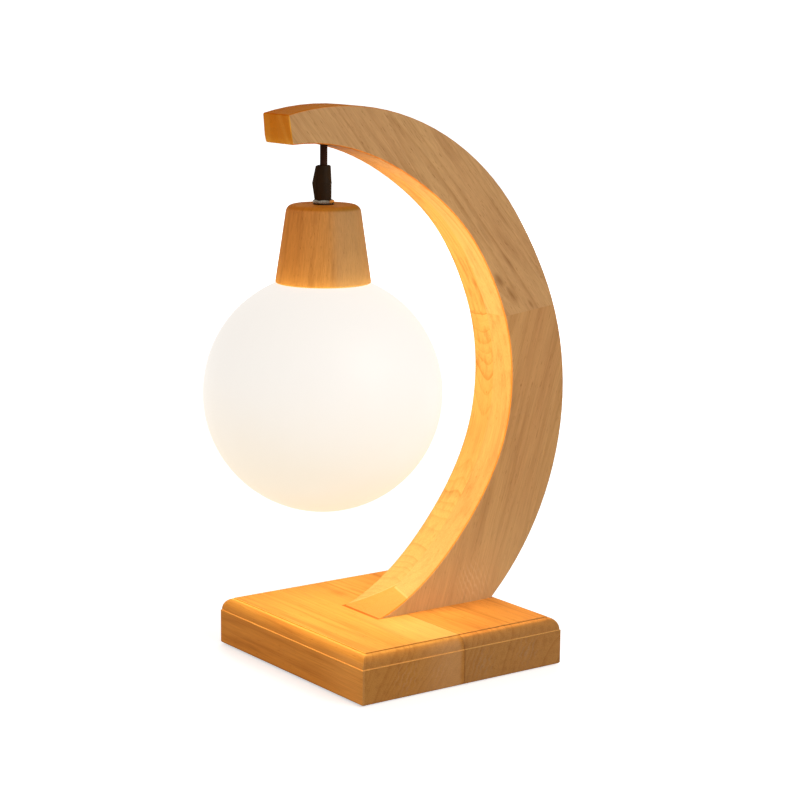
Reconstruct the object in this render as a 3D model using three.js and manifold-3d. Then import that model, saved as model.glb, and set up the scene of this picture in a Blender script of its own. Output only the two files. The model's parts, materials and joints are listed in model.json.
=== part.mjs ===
// Table lamp in millimetres, +Z up. A crescent arm, glued up from four boards, stands on a base of
// two boards and carries a pendant: cord, cord grip, turned wooden cup and glass globe.
// The origin is on the surface that the lamp stands on, under the middle of the base.
// The arm bends in the XZ plane, and the globe hangs on its -X side. Left is +Y.
import * as THREE from 'three';
import { mergeVertices } from 'three/addons/utils/BufferGeometryUtils.js';
import Module from 'manifold-3d';

const wasm = await Module();
wasm.setup();

// Fits and cuts
const slip = 0.3; // clearance all round between pieces that go into each other
const overrun = 2; // how far a cutter runs past the faces that it opens
const easedEdge = 0.8; // small chamfer on sawn wooden edges
const roundSides = 36; // facets round a large turned piece
const mediumSides = 24; // facets round a washer, grip or foot
const smallSides = 12; // facets round a screw, nut or hole
const pinSides = 8;

// Base: two boards glued edge to edge, moulded round the top
const baseLength = 156; // along X
const baseDepth = 163; // along Y
const baseThickness = 31;
const ledgeHeight = 22.5; // straight side below the moulding
const ledgeWidth = 1.2;
const edgeRoundWidth = 5.3;
const quirkHeight = 0.6; // small step between the round and the flat top
const edgeRoundSteps = 8;

// Felt feet, let into the underside
const padRadius = 9;
const padThickness = 1.5;
const padProud = 0.8; // how far a pad stands out of the wood
const padInset = 16; // from the sides of the base to a pad's centre

// Wiring pocket under the rear board, and its cover
const pocketWidth = 44;
const pocketDepth = 16;
const pocketFromSeam = 8;
const pocketFromScrew = 10; // from the front arm screw to the pocket's front end
const coverMargin = 7; // how far the cover laps over the pocket's rim
const coverThickness = 2.3;
const coverScrewRadius = 1.5;
const coverScrewHeadRadius = 3;
const coverScrewLength = 13;
const coverScrewHeadHeight = 1.6;

// Screws that hold the arm from below, one in each ply
const armScrewRadius = 2.5;
const armScrewLength = 32;
const armScrewHeadRadius = 4.5;
const armScrewHeadHeight = 3;
const armScrewOffset = 13.5; // from the glue line
const frontScrewReach = 19; // from where the lead turns down to each screw
const rearScrewReach = 17;
const armWasherRadius = 5.5;
const armWasherThickness = 1.2;

// Terminal block on the pocket's ceiling
const blockLength = 12;
const blockWidth = 14;
const blockHeight = 10;
const blockFromPocketEnd = 4;
const barrelRadius = 2;
const barrelBoreRadius = 1.2;
const barrelPitch = 7;
const barrelDepth = 5.2; // from the block's upper face to the barrels' axis
const barrelInset = 0.6;
const terminalScrewRadius = 0.9;
const terminalScrewLength = 4;
const terminalScrewSpacing = 6;

// Inlet bush in the back edge of the base
const inletRadius = 4;
const inletBoreRadius = 2.9;
const inletFlangeRadius = 6;
const inletFlangeThickness = 1.5;

// Arm: its outer edge is three tangent arcs that start below the base's top
const heelInset = 7.9; // from the base's rear side to where the outer edge leaves its top
const heelHeadingDegrees = 43.34;
const footRunDegrees = 28.6; // part of the first arc that continues below the heel
const heelArcRadius = 185;
const heelArcDegrees = 70.9;
const backArcRadius = 284;
const backArcDegrees = 10.5;
const crownArcRadius = 164;
const crownArcDegrees = 69.7;
const armWidths = [45.6, 52.4, 45.9, 39.2, 35.6, 18.3]; // at equal steps from foot to tip
const armThickness = 40;
const armTipThickness = 28;
const armTaperStart = 119; // height above the base where the side faces start to curve in
const armSections = 60;
const footShares = [0, 0.3]; // stretch of the arm in which the lead turns down
const crownShares = [0.8, 1]; // stretch of the arm that the hanging axis passes through
const halvings = 40; // steps of the search for a place on the arm
const tipTrim = 1.8; // cut off the pointed end
const tipLeanDegrees = 6.8;

// Butt joint across the arm, with a dowel in each ply
const jointShare = 0.535; // along the arm
const jointTiltDegrees = 6.7;
const dowelRadius = 4;
const dowelLength = 40;
const dowelOffset = 11; // from the glue line
const dowelEndChamfer = 1;

// Lead inside the arm
const cordRadius = 2.3;
const cordSides = 8;
const channelWidth = 7;
const leadDepthShares = [0.5, 0.3]; // of the arm's width, from its outer edge, at foot and tip
const leadFootRise = 3.83; // above the base's top, where the lead turns down
const leadArmSteps = 38;
const leadFootReach = 6; // from a bend's corner to where it starts
const leadPocketReach = 7;
const leadPocketRun = 2; // straight stretch of the lead in the pocket
const leadTipReach = 9;
const leadEndFromBlock = 4;
const leadBendSteps = 4;
const leadHoleRadius = 3.8;
const conductorRadius = 0.8;
const conductorSpacing = 2.2;
const conductorSides = 8;

// Exit at the tip and the collar that carries the pendant
const hangSetback = 35.2; // from the tip's upper corner to the hanging axis
const exitShoulder = 3.5; // wood under the cord stop
const bellmouthRadius = 5;
const bellmouthDepth = 3;
const stopRadius = 4.5;
const stopHeight = 3;

// Hanging cord and cord grip
const cordReach = 12.7; // between the arm's underside and the grip
const gripHeight = 21.1;
const gripCapHeight = 10.7;
const gripTopRadius = 4.4;
const gripRadius = 4.9;
const gripRidge = 0.15; // parting line's rim, proud of the grip
const gripRidgeHeight = 0.7;
const gripTopChamfer = 0.5;
const gripMouthRadius = 3.4;
const gripMouthDepth = 2.5;
const wedgeWidth = 5;
const wedgeTopReach = 4.9; // from the axis to the wedge's face
const wedgeMiddleReach = 7;
const wedgeBottomReach = 5.5;
const wedgeHeadingDegrees = 144;
const gripScrewRadius = 1.5;
const gripScrewLength = 3.4;
const gripScrewDrop = 2.8; // below the parting line

// Nut, washer and threaded nipple
const nutAcrossFlats = 11.5;
const nutHeight = 2.2;
const nutChamfer = 0.4;
const washerRadius = 6.5;
const washerThickness = 0.7;
const nippleRadius = 3.6;
const nippleInGrip = 4.1;
const nippleTail = 1.8; // thread that shows below the lock nut
const lockNutHeight = 3;
const lockNutAcrossFlats = 11;

// Turned cup
const cupHeight = 48.4;
const cupTopRadius = 22.7; // where the straight side would meet the top
const cupRimRadius = 29.9;
const cupTopRound = 2.7;
const cupMouthRadius = 24.5;
const cupMouthDepth = 20.4;
const cupDish = 2.1; // how far the underside rises towards the mouth
const cupBoreRadius = 15;
const cupTopThickness = 10;

// Spun carrier that the globe screws into
const carrierSheet = 1.2;
const carrierRadius = 21.7;
const carrierDepth = 15.3;
const carrierFlangeRadius = 23.8;

// Lampholder on its bracket
const bracketSheet = 1;
const bracketWidth = 8;
const bracketLap = 8; // how far its legs reach down beside the holder
const wiringSpace = 10.8; // between the lock nut and the holder
const holderRadius = 11.5;
const holderHeight = 21;
const holderEdge = 1.5;
const holderScrewRadius = 1.2;
const holderScrewHeadRadius = 2.2;
const holderScrewHeadHeight = 1.2;
const holderScrewLength = 5;
const holderScrewDrop = 5; // below the holder's top
const wireEntryDepth = 4;

// Two-pin bulb
const pinRadius = 0.7;
const pinLength = 12;
const pinSpacing = 9;
const bulbRadius = 8;
const bulbBaseHeight = 12;
const bulbEdge = 1;
const bulbCoverRadius = 8.4;
const bulbCoverHeight = 34;
const bulbCoverWall = 1;

// Globe with its threaded neck, and the ring that seals it
const globeRadius = 75;
const globeWall = 3;
const neckRadius = 19.6;
const neckTopGap = 2.8; // from the neck's lip to the carrier's plate
const globeRimGap = 0.5; // between the glass and the cup's rim
const sealPlay = 0.4; // between the ring and the neck
const sealOuterRadius = 23.4;
const sealThickness = 1.4;
const globeOuterSteps = 17;
const globeInnerSteps = 10;
const lipSteps = 4;
const roundSteps = 5;

// Heights and places that follow from the sizes above
const underside = padProud;
const baseTop = underside + baseThickness;
const coverTop = underside + coverThickness;
const pocketCeiling = underside + pocketDepth;
const pocketMiddleZ = (coverTop + pocketCeiling) / 2;
const heelX = baseLength / 2 - heelInset;
const boreRadius = cordRadius + slip;
const gripBottom = -gripHeight;
const gripParting = -gripCapHeight;
const nutBottom = gripBottom - nutHeight;
const cupTop = nutBottom - washerThickness;
const cupBottom = cupTop - cupHeight;
const cupShoulder = cupBottom + cupMouthDepth;
const carrierPlate = cupShoulder - carrierSheet;
const carrierBottom = cupShoulder - carrierDepth;
const bracketPlate = carrierPlate - bracketSheet;
const lockNutBottom = bracketPlate - lockNutHeight;
const nippleBottom = lockNutBottom - nippleTail;
const nippleTop = gripBottom + nippleInGrip;
const nippleHole = nippleRadius + slip;
const holderTop = lockNutBottom - wiringSpace;
const holderBottom = holderTop - holderHeight;
const bulbTop = holderBottom - slip;
const globeCentre = cupBottom - globeRimGap - Math.sqrt(globeRadius ** 2 - cupRimRadius ** 2);

// Colours and surfaces
const looks = {
  frontBoard: { color: 0xc79a5f, roughness: 0.45, metalness: 0 },
  rearBoard: { color: 0xc08a4c, roughness: 0.45, metalness: 0 },
  leftPly: { color: 0xd9a45c, roughness: 0.45, metalness: 0 },
  rightPly: { color: 0xb98552, roughness: 0.45, metalness: 0 },
  dowelWood: { color: 0xd8bd8e, roughness: 0.7, metalness: 0 },
  turnedWood: { color: 0xb5793f, roughness: 0.45, metalness: 0 },
  felt: { color: 0x3a3431, roughness: 1, metalness: 0 },
  blackCord: { color: 0x1a1210, roughness: 0.25, metalness: 0 },
  blackPlastic: { color: 0x221b18, roughness: 0.55, metalness: 0 },
  whitePlastic: { color: 0xe8e6df, roughness: 0.5, metalness: 0 },
  chrome: { color: 0xd6d8da, roughness: 0.12, metalness: 1 },
  zincSteel: { color: 0xb4b6b4, roughness: 0.35, metalness: 1 },
  brass: { color: 0xc9a550, roughness: 0.3, metalness: 1 },
  copper: { color: 0xc07848, roughness: 0.35, metalness: 1 },
  ceramic: { color: 0xf1efe8, roughness: 0.3, metalness: 0 },
  opalGlass: { color: 0xfdf3e6, roughness: 0.15, metalness: 0, emissive: 0xfbe3c4 },
  bulbCover: { color: 0xfffaf0, roughness: 0.4, metalness: 0, emissive: 0xfff0d8 },
  silicone: { color: 0xd9d7d0, roughness: 0.8, metalness: 0 },
};

const radians = THREE.MathUtils.degToRad;

// Solids from three.js geometry

function solidOf(geometry) {
  geometry.deleteAttribute('normal');
  geometry.deleteAttribute('uv');
  const merged = mergeVertices(geometry);
  const vertProperties = new Float32Array(merged.attributes.position.array);
  const corners = merged.index.array;
  const kept = [];
  for (let i = 0; i < corners.length; i += 3) {
    const [a, b, c] = [corners[i], corners[i + 1], corners[i + 2]];
    if (a !== b && b !== c && c !== a) kept.push(a, b, c);
  }
  const triVerts = new Uint32Array(kept);
  return new wasm.Manifold(new wasm.Mesh({ numProp: 3, vertProperties, triVerts }));
}

function geometryOf(solid) {
  const mesh = solid.getMesh();
  const geometry = new THREE.BufferGeometry();
  geometry.setAttribute('position', new THREE.BufferAttribute(mesh.vertProperties, mesh.numProp));
  geometry.setIndex(new THREE.BufferAttribute(mesh.triVerts, 1));
  const faceted = geometry.toNonIndexed();
  faceted.computeVertexNormals();
  return faceted;
}

function addPiece(group, name, solid, look) {
  const mesh = new THREE.Mesh(geometryOf(solid), new THREE.MeshStandardMaterial(look));
  mesh.name = name;
  group.add(mesh);
  return mesh;
}

function boxSolid(low, high, place = new THREE.Matrix4()) {
  const size = new THREE.Vector3().subVectors(high, low);
  const middle = new THREE.Vector3().addVectors(low, high).multiplyScalar(0.5);
  const geometry = new THREE.BoxGeometry(size.x, size.y, size.z);
  geometry.translate(middle.x, middle.y, middle.z);
  return solidOf(geometry.applyMatrix4(place));
}

// A profile of [radius, z] pairs, counter-clockwise, turned round the Z axis.
function turned(profile, sides = roundSides, place = new THREE.Matrix4()) {
  const points = profile.map(([radius, z]) => new THREE.Vector2(radius, z));
  const geometry = new THREE.LatheGeometry(points, sides);
  geometry.rotateX(Math.PI / 2);
  return solidOf(geometry.applyMatrix4(place));
}

function disc(radius, low, high) {
  return [[0, low], [radius, low], [radius, high], [0, high]];
}

function ring(inner, outer, low, high) {
  return [[inner, low], [outer, low], [outer, high], [inner, high], [inner, low]];
}

// Points on an arc in the profile's plane, from one angle to another in degrees.
function arc(x, z, radiusX, radiusZ, from, to, steps) {
  return Array.from({ length: steps + 1 }, (_, i) => {
    const angle = radians(from + (to - from) * i / steps);
    return [x + radiusX * Math.cos(angle), z + radiusZ * Math.sin(angle)];
  });
}

// An outline in the XZ plane, extruded along Y to both sides.
function slab(outline, width) {
  const shape = new THREE.Shape(outline.map(([x, z]) => new THREE.Vector2(x, z)));
  const geometry = new THREE.ExtrudeGeometry(shape, { depth: width, bevelEnabled: false });
  geometry.translate(0, 0, -width / 2);
  geometry.rotateX(Math.PI / 2);
  return geometry;
}

// Convex rings of points, joined in order and closed at both ends.
function loft(rings) {
  const count = rings[0].length;
  const points = rings.flat();
  const triangles = [];
  for (let i = 0; i + 1 < rings.length; i += 1) {
    for (let j = 0; j < count; j += 1) {
      const [a, b] = [i * count + j, i * count + (j + 1) % count];
      triangles.push([a, b, b + count], [a, b + count, a + count]);
    }
  }
  const last = (rings.length - 1) * count;
  for (let j = 1; j + 1 < count; j += 1) {
    triangles.push([0, j + 1, j], [last, last + j, last + j + 1]);
  }
  const cross = new THREE.Vector3();
  const volume = triangles.reduce((sum, [a, b, c]) =>
    sum + cross.crossVectors(points[b], points[c]).dot(points[a]), 0);
  const order = volume < 0 ? ([a, b, c]) => [a, c, b] : (corners) => corners;
  const geometry = new THREE.BufferGeometry().setFromPoints(points);
  geometry.setIndex(triangles.flatMap(order));
  return solidOf(geometry);
}

// A hexagonal prism with both faces turned down to a round chamfer.
function hexNut(acrossFlats, low, high, chamfer) {
  const corner = acrossFlats / 2 / Math.cos(Math.PI / 6);
  const inner = acrossFlats / 2;
  const prism = new THREE.CylinderGeometry(corner, corner, high - low, 6);
  prism.rotateX(Math.PI / 2);
  prism.translate(0, 0, (low + high) / 2);
  const faced = turned([
    [0, low], [inner, low], [corner, low + chamfer],
    [corner, high - chamfer], [inner, high], [0, high],
  ], mediumSides);
  const hole = turned(disc(nippleHole, low - overrun, high + overrun), smallSides);
  return solidOf(prism).intersect(faced).subtract(hole);
}

// A path whose extrusion steps fall on its own points, which lie closer together in bends.
class Route extends THREE.CatmullRomCurve3 {
  getPointAt(share) {
    return this.getPoint(share);
  }

  getTangentAt(share) {
    return this.getTangent(share);
  }
}

function extrudeAlong(points, shape) {
  const extrudePath = new Route(points);
  const options = { steps: points.length - 1, extrudePath, bevelEnabled: false };
  return solidOf(new THREE.ExtrudeGeometry(shape, options));
}

function roundShape(radius, sides) {
  const corners = Array.from({ length: sides }, (_, i) => {
    const angle = (i + 0.5) / sides * Math.PI * 2;
    return new THREE.Vector2(radius * Math.cos(angle), radius * Math.sin(angle));
  });
  return new THREE.Shape(corners);
}

// The points of a bend at a corner, starting and ending a given reach away from it.
function bend(before, corner, after, reach) {
  const start = corner.clone().add(before.clone().sub(corner).setLength(reach));
  const end = corner.clone().add(after.clone().sub(corner).setLength(reach));
  return new THREE.QuadraticBezierCurve3(start, corner, end).getPoints(leadBendSteps);
}

// Lines of the arm in the XZ plane

const armArcs = [
  { radius: heelArcRadius, turn: radians(footRunDegrees + heelArcDegrees) },
  { radius: backArcRadius, turn: radians(backArcDegrees) },
  { radius: crownArcRadius, turn: radians(crownArcDegrees) },
];
const armRun = armArcs.reduce((sum, piece) => sum + piece.radius * piece.turn, 0);

function inward(heading) {
  return new THREE.Vector3(-Math.sin(heading), 0, Math.cos(heading));
}

// The outer edge at a share of its run, with the heading that it has there.
function outerEdge(share) {
  let heading = radians(heelHeadingDegrees);
  const point = new THREE.Vector3(heelX, 0, baseTop).addScaledVector(inward(heading), heelArcRadius);
  heading -= radians(footRunDegrees);
  point.addScaledVector(inward(heading), -heelArcRadius);
  let left = share * armRun;
  for (const { radius, turn } of armArcs) {
    const step = Math.min(left / radius, turn);
    point.addScaledVector(inward(heading), radius);
    heading += step;
    point.addScaledVector(inward(heading), -radius);
    left -= step * radius;
  }
  return { point, heading };
}

// Smooth curve through equally spaced values.
function smoothThrough(values, share) {
  const last = values.length - 1;
  const place = Math.min(Math.floor(share * last), last - 1);
  const t = share * last - place;
  const slope = (i) => {
    const [before, after] = [Math.max(i - 1, 0), Math.min(i + 1, last)];
    return (values[after] - values[before]) / (after - before);
  };
  return (2 * t ** 3 - 3 * t ** 2 + 1) * values[place] + (t ** 3 - 2 * t ** 2 + t) * slope(place)
    + (3 * t ** 2 - 2 * t ** 3) * values[place + 1] + (t ** 3 - t ** 2) * slope(place + 1);
}

function acrossArm(share, depthShare) {
  const { point, heading } = outerEdge(share);
  return point.addScaledVector(inward(heading), depthShare * smoothThrough(armWidths, share));
}

// Half the arm's thickness at a height: straight at the foot, then an arc that curves in.
const crownTop = Math.max(...Array.from({ length: armSections }, (_, i) =>
  outerEdge(i / armSections).point.z));
const taperFrom = baseTop + armTaperStart;
const taperIn = (armThickness - armTipThickness) / 2;
const taperRadius = ((crownTop - taperFrom) ** 2 + taperIn ** 2) / 2 / taperIn;

function halfThickness(z) {
  const above = Math.max(z - taperFrom, 0);
  return armThickness / 2 - taperRadius + Math.sqrt(taperRadius ** 2 - above ** 2);
}

// The hanging axis, and the underside's height there
const tipCorner = outerEdge(1).point.add(new THREE.Vector3(tipTrim, 0, 0));
const hangX = tipCorner.x + hangSetback;

// The share in a stretch of the arm up to which a test of a line's points holds.
function shareUpTo(line, [low, high], holds) {
  for (let i = 0; i < halvings; i += 1) {
    const middle = (low + high) / 2;
    if (holds(line(middle))) low = middle;
    else high = middle;
  }
  return low;
}

const beforeHang = (point) => point.x > hangX;
const belowFootTurn = (point) => point.z < baseTop + leadFootRise;
const undersideLine = (share) => acrossArm(share, 1);
const pivotZ = undersideLine(shareUpTo(undersideLine, crownShares, beforeHang)).z;
const shoulderZ = pivotZ + exitShoulder;
const stopTop = shoulderZ + stopHeight;
const gripTopZ = pivotZ - cordReach;

// The lead's line inside the arm
function leadLine(share) {
  return acrossArm(share, THREE.MathUtils.lerp(...leadDepthShares, share));
}

const footShare = shareUpTo(leadLine, footShares, belowFootTurn);
const footCorner = leadLine(footShare);
const leadEnd = new THREE.Vector3(footCorner.x + leadPocketReach + leadPocketRun, 0, pocketMiddleZ);

// Places along the rear board, from where the lead turns down
const blockStart = leadEnd.x + leadEndFromBlock;
const frontScrewX = footCorner.x - frontScrewReach;
const rearScrewX = footCorner.x + rearScrewReach;
const pocketStart = frontScrewX - pocketFromScrew;
const pocketEnd = blockStart + blockLength + blockFromPocketEnd;
const seamX = pocketStart - pocketFromSeam;

function leadPoints() {
  const tipShare = shareUpTo(leadLine, crownShares, beforeHang);
  const tipTurn = leadLine(tipShare);
  const pocketTurn = new THREE.Vector3(footCorner.x, 0, pocketMiddleZ);
  const shareOf = (distance) => distance / armRun;
  const from = footShare + shareOf(leadFootReach * 2);
  const to = tipShare - shareOf(leadTipReach * 2);
  const inArm = Array.from({ length: leadArmSteps + 1 }, (_, i) =>
    leadLine(from + (to - from) * i / leadArmSteps));
  const exit = new THREE.Vector3(hangX, 0, pivotZ + cordRadius + slip);
  return [
    leadEnd,
    ...bend(leadEnd, pocketTurn, footCorner, leadPocketReach),
    ...bend(pocketTurn, footCorner, inArm[0], leadFootReach),
    ...inArm,
    ...bend(inArm.at(-1), tipTurn, exit, leadTipReach),
    exit,
  ];
}

const leadRoute = leadPoints();
const leadPocketPoints = 1 + leadBendSteps; // points of the lead that lie in the pocket

// The butt joint's plane, set on the arm's middle line
const jointPlace = new THREE.Matrix4().makeRotationY(-radians(jointTiltDegrees))
  .setPosition(acrossArm(jointShare, 0.5));

// Base

function mouldedBlock() {
  const roundHeight = baseThickness - ledgeHeight - quirkHeight;
  const profile = [
    [easedEdge, underside],
    [0, underside + easedEdge],
    [0, underside + ledgeHeight],
    ...arc(ledgeWidth + edgeRoundWidth, underside + ledgeHeight, -edgeRoundWidth, roundHeight,
      0, 90, edgeRoundSteps),
    [ledgeWidth + edgeRoundWidth, baseTop],
  ];
  return loft(profile.map(([inset, z]) => {
    const [x, y] = [baseLength / 2 - inset, baseDepth / 2 - inset];
    return [[x, y], [-x, y], [-x, -y], [x, -y]].map(([px, py]) => new THREE.Vector3(px, py, z));
  }));
}

function padCentres() {
  const [x, y] = [baseLength / 2 - padInset, baseDepth / 2 - padInset];
  return {
    front_left: [-x, y], front_right: [-x, -y], rear_left: [x, y], rear_right: [x, -y],
  };
}

function at(x, y, z = 0) {
  return new THREE.Matrix4().makeTranslation(x, y, z);
}

// Turns the Z axis to point along +X, then moves it.
function alongX(x, y, z) {
  return at(x, y, z).multiply(new THREE.Matrix4().makeRotationY(Math.PI / 2));
}

const coverLow = [pocketStart - coverMargin, -pocketWidth / 2 - coverMargin];
const coverHigh = [pocketEnd + coverMargin, pocketWidth / 2 + coverMargin];
const coverScrewPlaces = [0, 1, 2, 3].map((i) => [
  i < 2 ? coverLow[0] + coverMargin / 2 : coverHigh[0] - coverMargin / 2,
  i % 2 ? coverLow[1] + coverMargin / 2 : coverHigh[1] - coverMargin / 2,
]);
const armScrewPlaces = [[frontScrewX, armScrewOffset], [rearScrewX, -armScrewOffset]];

// A countersunk screw's profile, with its head's face at the underside.
function sunkScrew(extra) {
  const neck = underside + coverScrewHeadHeight;
  const [head, shank] = [coverScrewHeadRadius + extra, coverScrewRadius + extra];
  return [[0, underside], [head, underside], [shank, neck + extra],
    [shank, underside + coverScrewLength + extra], [0, underside + coverScrewLength + extra]];
}

function addBase(group) {
  const block = mouldedBlock();
  const far = baseLength + overrun;
  const half = (low, high) =>
    boxSolid(new THREE.Vector3(low, -far, -overrun), new THREE.Vector3(high, far, baseTop + overrun));
  let front = block.intersect(half(-far, seamX));
  let rear = block.intersect(half(seamX, far));
  for (const [name, [x, y]] of Object.entries(padCentres())) {
    const recess = turned(disc(padRadius + slip, -overrun, padThickness), mediumSides, at(x, y));
    if (x < seamX) front = front.subtract(recess);
    else rear = rear.subtract(recess);
    const pad = turned(disc(padRadius, 0, padThickness), mediumSides, at(x, y));
    addPiece(group, `foot_pad_${name}`, pad, looks.felt);
  }
  const pocket = boxSolid(
    new THREE.Vector3(pocketStart, -pocketWidth / 2, 0),
    new THREE.Vector3(pocketEnd, pocketWidth / 2, pocketCeiling),
  );
  const rebate = boxSolid(
    new THREE.Vector3(coverLow[0] - slip, coverLow[1] - slip, 0),
    new THREE.Vector3(coverHigh[0] + slip, coverHigh[1] + slip, coverTop),
  );
  const leadHole = turned(disc(leadHoleRadius, 0, baseTop + overrun), smallSides, at(footCorner.x, 0));
  const inletReach = baseLength / 2 - pocketEnd + overrun;
  const inlet = turned(disc(inletRadius, -overrun, inletReach), smallSides,
    alongX(pocketEnd, 0, pocketMiddleZ));
  rear = rear.subtract(pocket).subtract(rebate).subtract(leadHole).subtract(inlet);
  let cover = boxSolid(
    new THREE.Vector3(...coverLow, underside),
    new THREE.Vector3(...coverHigh, coverTop),
  );
  coverScrewPlaces.forEach(([x, y], i) => {
    const hole = turned(sunkScrew(slip), smallSides, at(x, y));
    rear = rear.subtract(hole);
    cover = cover.subtract(hole);
    addPiece(group, `cover_screw_${i + 1}`, turned(sunkScrew(0), smallSides, at(x, y)), looks.zincSteel);
  });
  for (const [x, y] of armScrewPlaces) {
    const hole = disc(armScrewRadius + slip, pocketCeiling - overrun, baseTop + overrun);
    rear = rear.subtract(turned(hole, smallSides, at(x, y)));
  }
  addPiece(group, 'base_front_board', front, looks.frontBoard);
  addPiece(group, 'base_rear_board', rear, looks.rearBoard);
  addPiece(group, 'pocket_cover', cover, looks.blackPlastic);
}

function addArmScrews(group) {
  const washerBottom = pocketCeiling - armWasherThickness;
  const headBottom = washerBottom - armScrewHeadHeight;
  const names = ['front', 'rear'];
  armScrewPlaces.forEach(([x, y], i) => {
    const washer = ring(armScrewRadius + slip, armWasherRadius, washerBottom, pocketCeiling);
    const screw = [
      [0, headBottom],
      [armScrewHeadRadius - easedEdge, headBottom],
      [armScrewHeadRadius, headBottom + easedEdge],
      [armScrewHeadRadius, washerBottom],
      [armScrewRadius, washerBottom],
      [armScrewRadius, washerBottom + armScrewLength - armScrewRadius],
      [0, washerBottom + armScrewLength],
    ];
    addPiece(group, `arm_washer_${names[i]}`, turned(washer, smallSides, at(x, y)), looks.zincSteel);
    addPiece(group, `arm_screw_${names[i]}`, turned(screw, smallSides, at(x, y)), looks.zincSteel);
  });
}

function addTerminals(group) {
  const axisZ = pocketCeiling - barrelDepth;
  const blockBottom = pocketCeiling - blockHeight;
  const blockMiddle = blockStart + blockLength / 2;
  let block = boxSolid(
    new THREE.Vector3(blockStart, -blockWidth / 2, blockBottom),
    new THREE.Vector3(blockStart + blockLength, blockWidth / 2, pocketCeiling),
  );
  const screwTop = axisZ - barrelBoreRadius;
  let screwNumber = 0;
  const leadSides = { live: 1, neutral: -1 };
  for (const [name, side] of Object.entries(leadSides)) {
    const y = side * barrelPitch / 2;
    const through = disc(barrelRadius + slip, -overrun, blockLength + overrun);
    block = block.subtract(turned(through, smallSides, alongX(blockStart, y, axisZ)));
    const length = blockLength - 2 * barrelInset;
    let barrel = turned(ring(barrelBoreRadius, barrelRadius, 0, length), smallSides,
      alongX(blockStart + barrelInset, y, axisZ));
    for (const end of [-1, 1]) {
      const x = blockMiddle + end * terminalScrewSpacing / 2;
      const hole = disc(terminalScrewRadius + slip, blockBottom - overrun, axisZ);
      const cut = turned(hole, smallSides, at(x, y));
      block = block.subtract(cut);
      barrel = barrel.subtract(cut);
      screwNumber += 1;
      const profile = disc(terminalScrewRadius, screwTop - terminalScrewLength, screwTop);
      const screw = turned(profile, smallSides, at(x, y));
      addPiece(group, `terminal_screw_${screwNumber}`, screw, looks.zincSteel);
    }
    addPiece(group, `terminal_barrel_${name}`, barrel, looks.brass);
    const start = leadEnd.clone().add(new THREE.Vector3(slip, side * conductorSpacing / 2, 0));
    const end = new THREE.Vector3(blockStart + blockLength / 4, y, axisZ);
    const tail = conductor(start, end, new THREE.Vector3(1, 0, 0), blockLength / 4);
    addPiece(group, `lead_tail_${name}`, tail, looks.copper);
  }
  addPiece(group, 'terminal_block', block, looks.whitePlastic);
}

// A stripped conductor that leaves and arrives along one direction, with its end run in straight.
function conductor(start, end, direction, entry) {
  const route = [
    start,
    start.clone().addScaledVector(direction, conductorRadius * 2),
    end.clone().addScaledVector(direction, -entry - conductorRadius),
    end,
  ];
  return extrudeAlong(route.flatMap((point, i) => (i === 0 ? [point]
    : [route[i - 1].clone().lerp(point, 0.5), point])), roundShape(conductorRadius, conductorSides));
}

function addInletBush(group) {
  const bush = turned([
    [inletBoreRadius, pocketEnd],
    [inletRadius - slip, pocketEnd],
    [inletRadius - slip, baseLength / 2],
    [inletFlangeRadius, baseLength / 2],
    [inletFlangeRadius, baseLength / 2 + inletFlangeThickness],
    [inletBoreRadius, baseLength / 2 + inletFlangeThickness],
    [inletBoreRadius, pocketEnd],
  ], smallSides, alongX(0, 0, pocketMiddleZ));
  addPiece(group, 'inlet_bush', bush, looks.blackPlastic);
}

// Arm

// One ply from foot to tip, on the left or the right of the glue line.
function armPly(side) {
  const rings = Array.from({ length: armSections + 1 }, (_, i) => {
    const share = i / armSections;
    const width = smoothThrough(armWidths, share);
    const { point, heading } = outerEdge(share);
    const corner = (depth, eased) => {
      const place = point.clone().addScaledVector(inward(heading), depth);
      place.y = side * (halfThickness(place.z) - eased);
      return place;
    };
    const edges = [
      corner(0, easedEdge), corner(easedEdge, 0), corner(width - easedEdge, 0), corner(width, easedEdge),
    ];
    const glued = [edges[3].clone().setY(0), edges[0].clone().setY(0)];
    return [...edges, ...glued];
  });
  return loft(rings);
}

// A block far larger than the arm, below the local XY plane of a place.
function blockBelow(place) {
  const far = armRun + overrun;
  return boxSolid(new THREE.Vector3(-far, -far, -far), new THREE.Vector3(far, far, 0), place);
}

function dowelPlace(side) {
  return jointPlace.clone().multiply(at(0, side * dowelOffset));
}

function dowelProfile(extra) {
  const [radius, end] = [dowelRadius + extra, dowelLength / 2 + extra];
  return [[0, -end], [radius - dowelEndChamfer, -end], [radius, dowelEndChamfer - end],
    [radius, end - dowelEndChamfer], [radius - dowelEndChamfer, end], [0, end]];
}

function channelSolid() {
  const inArm = leadRoute.slice(leadPocketPoints + 1, -1);
  const below = new THREE.Vector3(footCorner.x, 0, pocketCeiling);
  const above = new THREE.Vector3(hangX, 0, stopTop);
  const half = channelWidth / 2;
  const section = new THREE.Shape([[half, half], [-half, half], [-half, -half], [half, -half]]
    .map(([x, y]) => new THREE.Vector2(x, y)));
  return extrudeAlong([below, ...inArm, above], section);
}

// The hole under the tip: bellmouth, bore, and the room for the cord stop.
function exitSolid() {
  return turned([
    [0, pivotZ - 2 * overrun],
    [bellmouthRadius, pivotZ - 2 * overrun],
    [bellmouthRadius, pivotZ],
    [boreRadius, pivotZ + bellmouthDepth],
    [boreRadius, shoulderZ],
    [stopRadius + slip, shoulderZ],
    [stopRadius + slip, stopTop + slip],
    [0, stopTop + slip],
  ], smallSides, at(hangX, 0));
}

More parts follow.
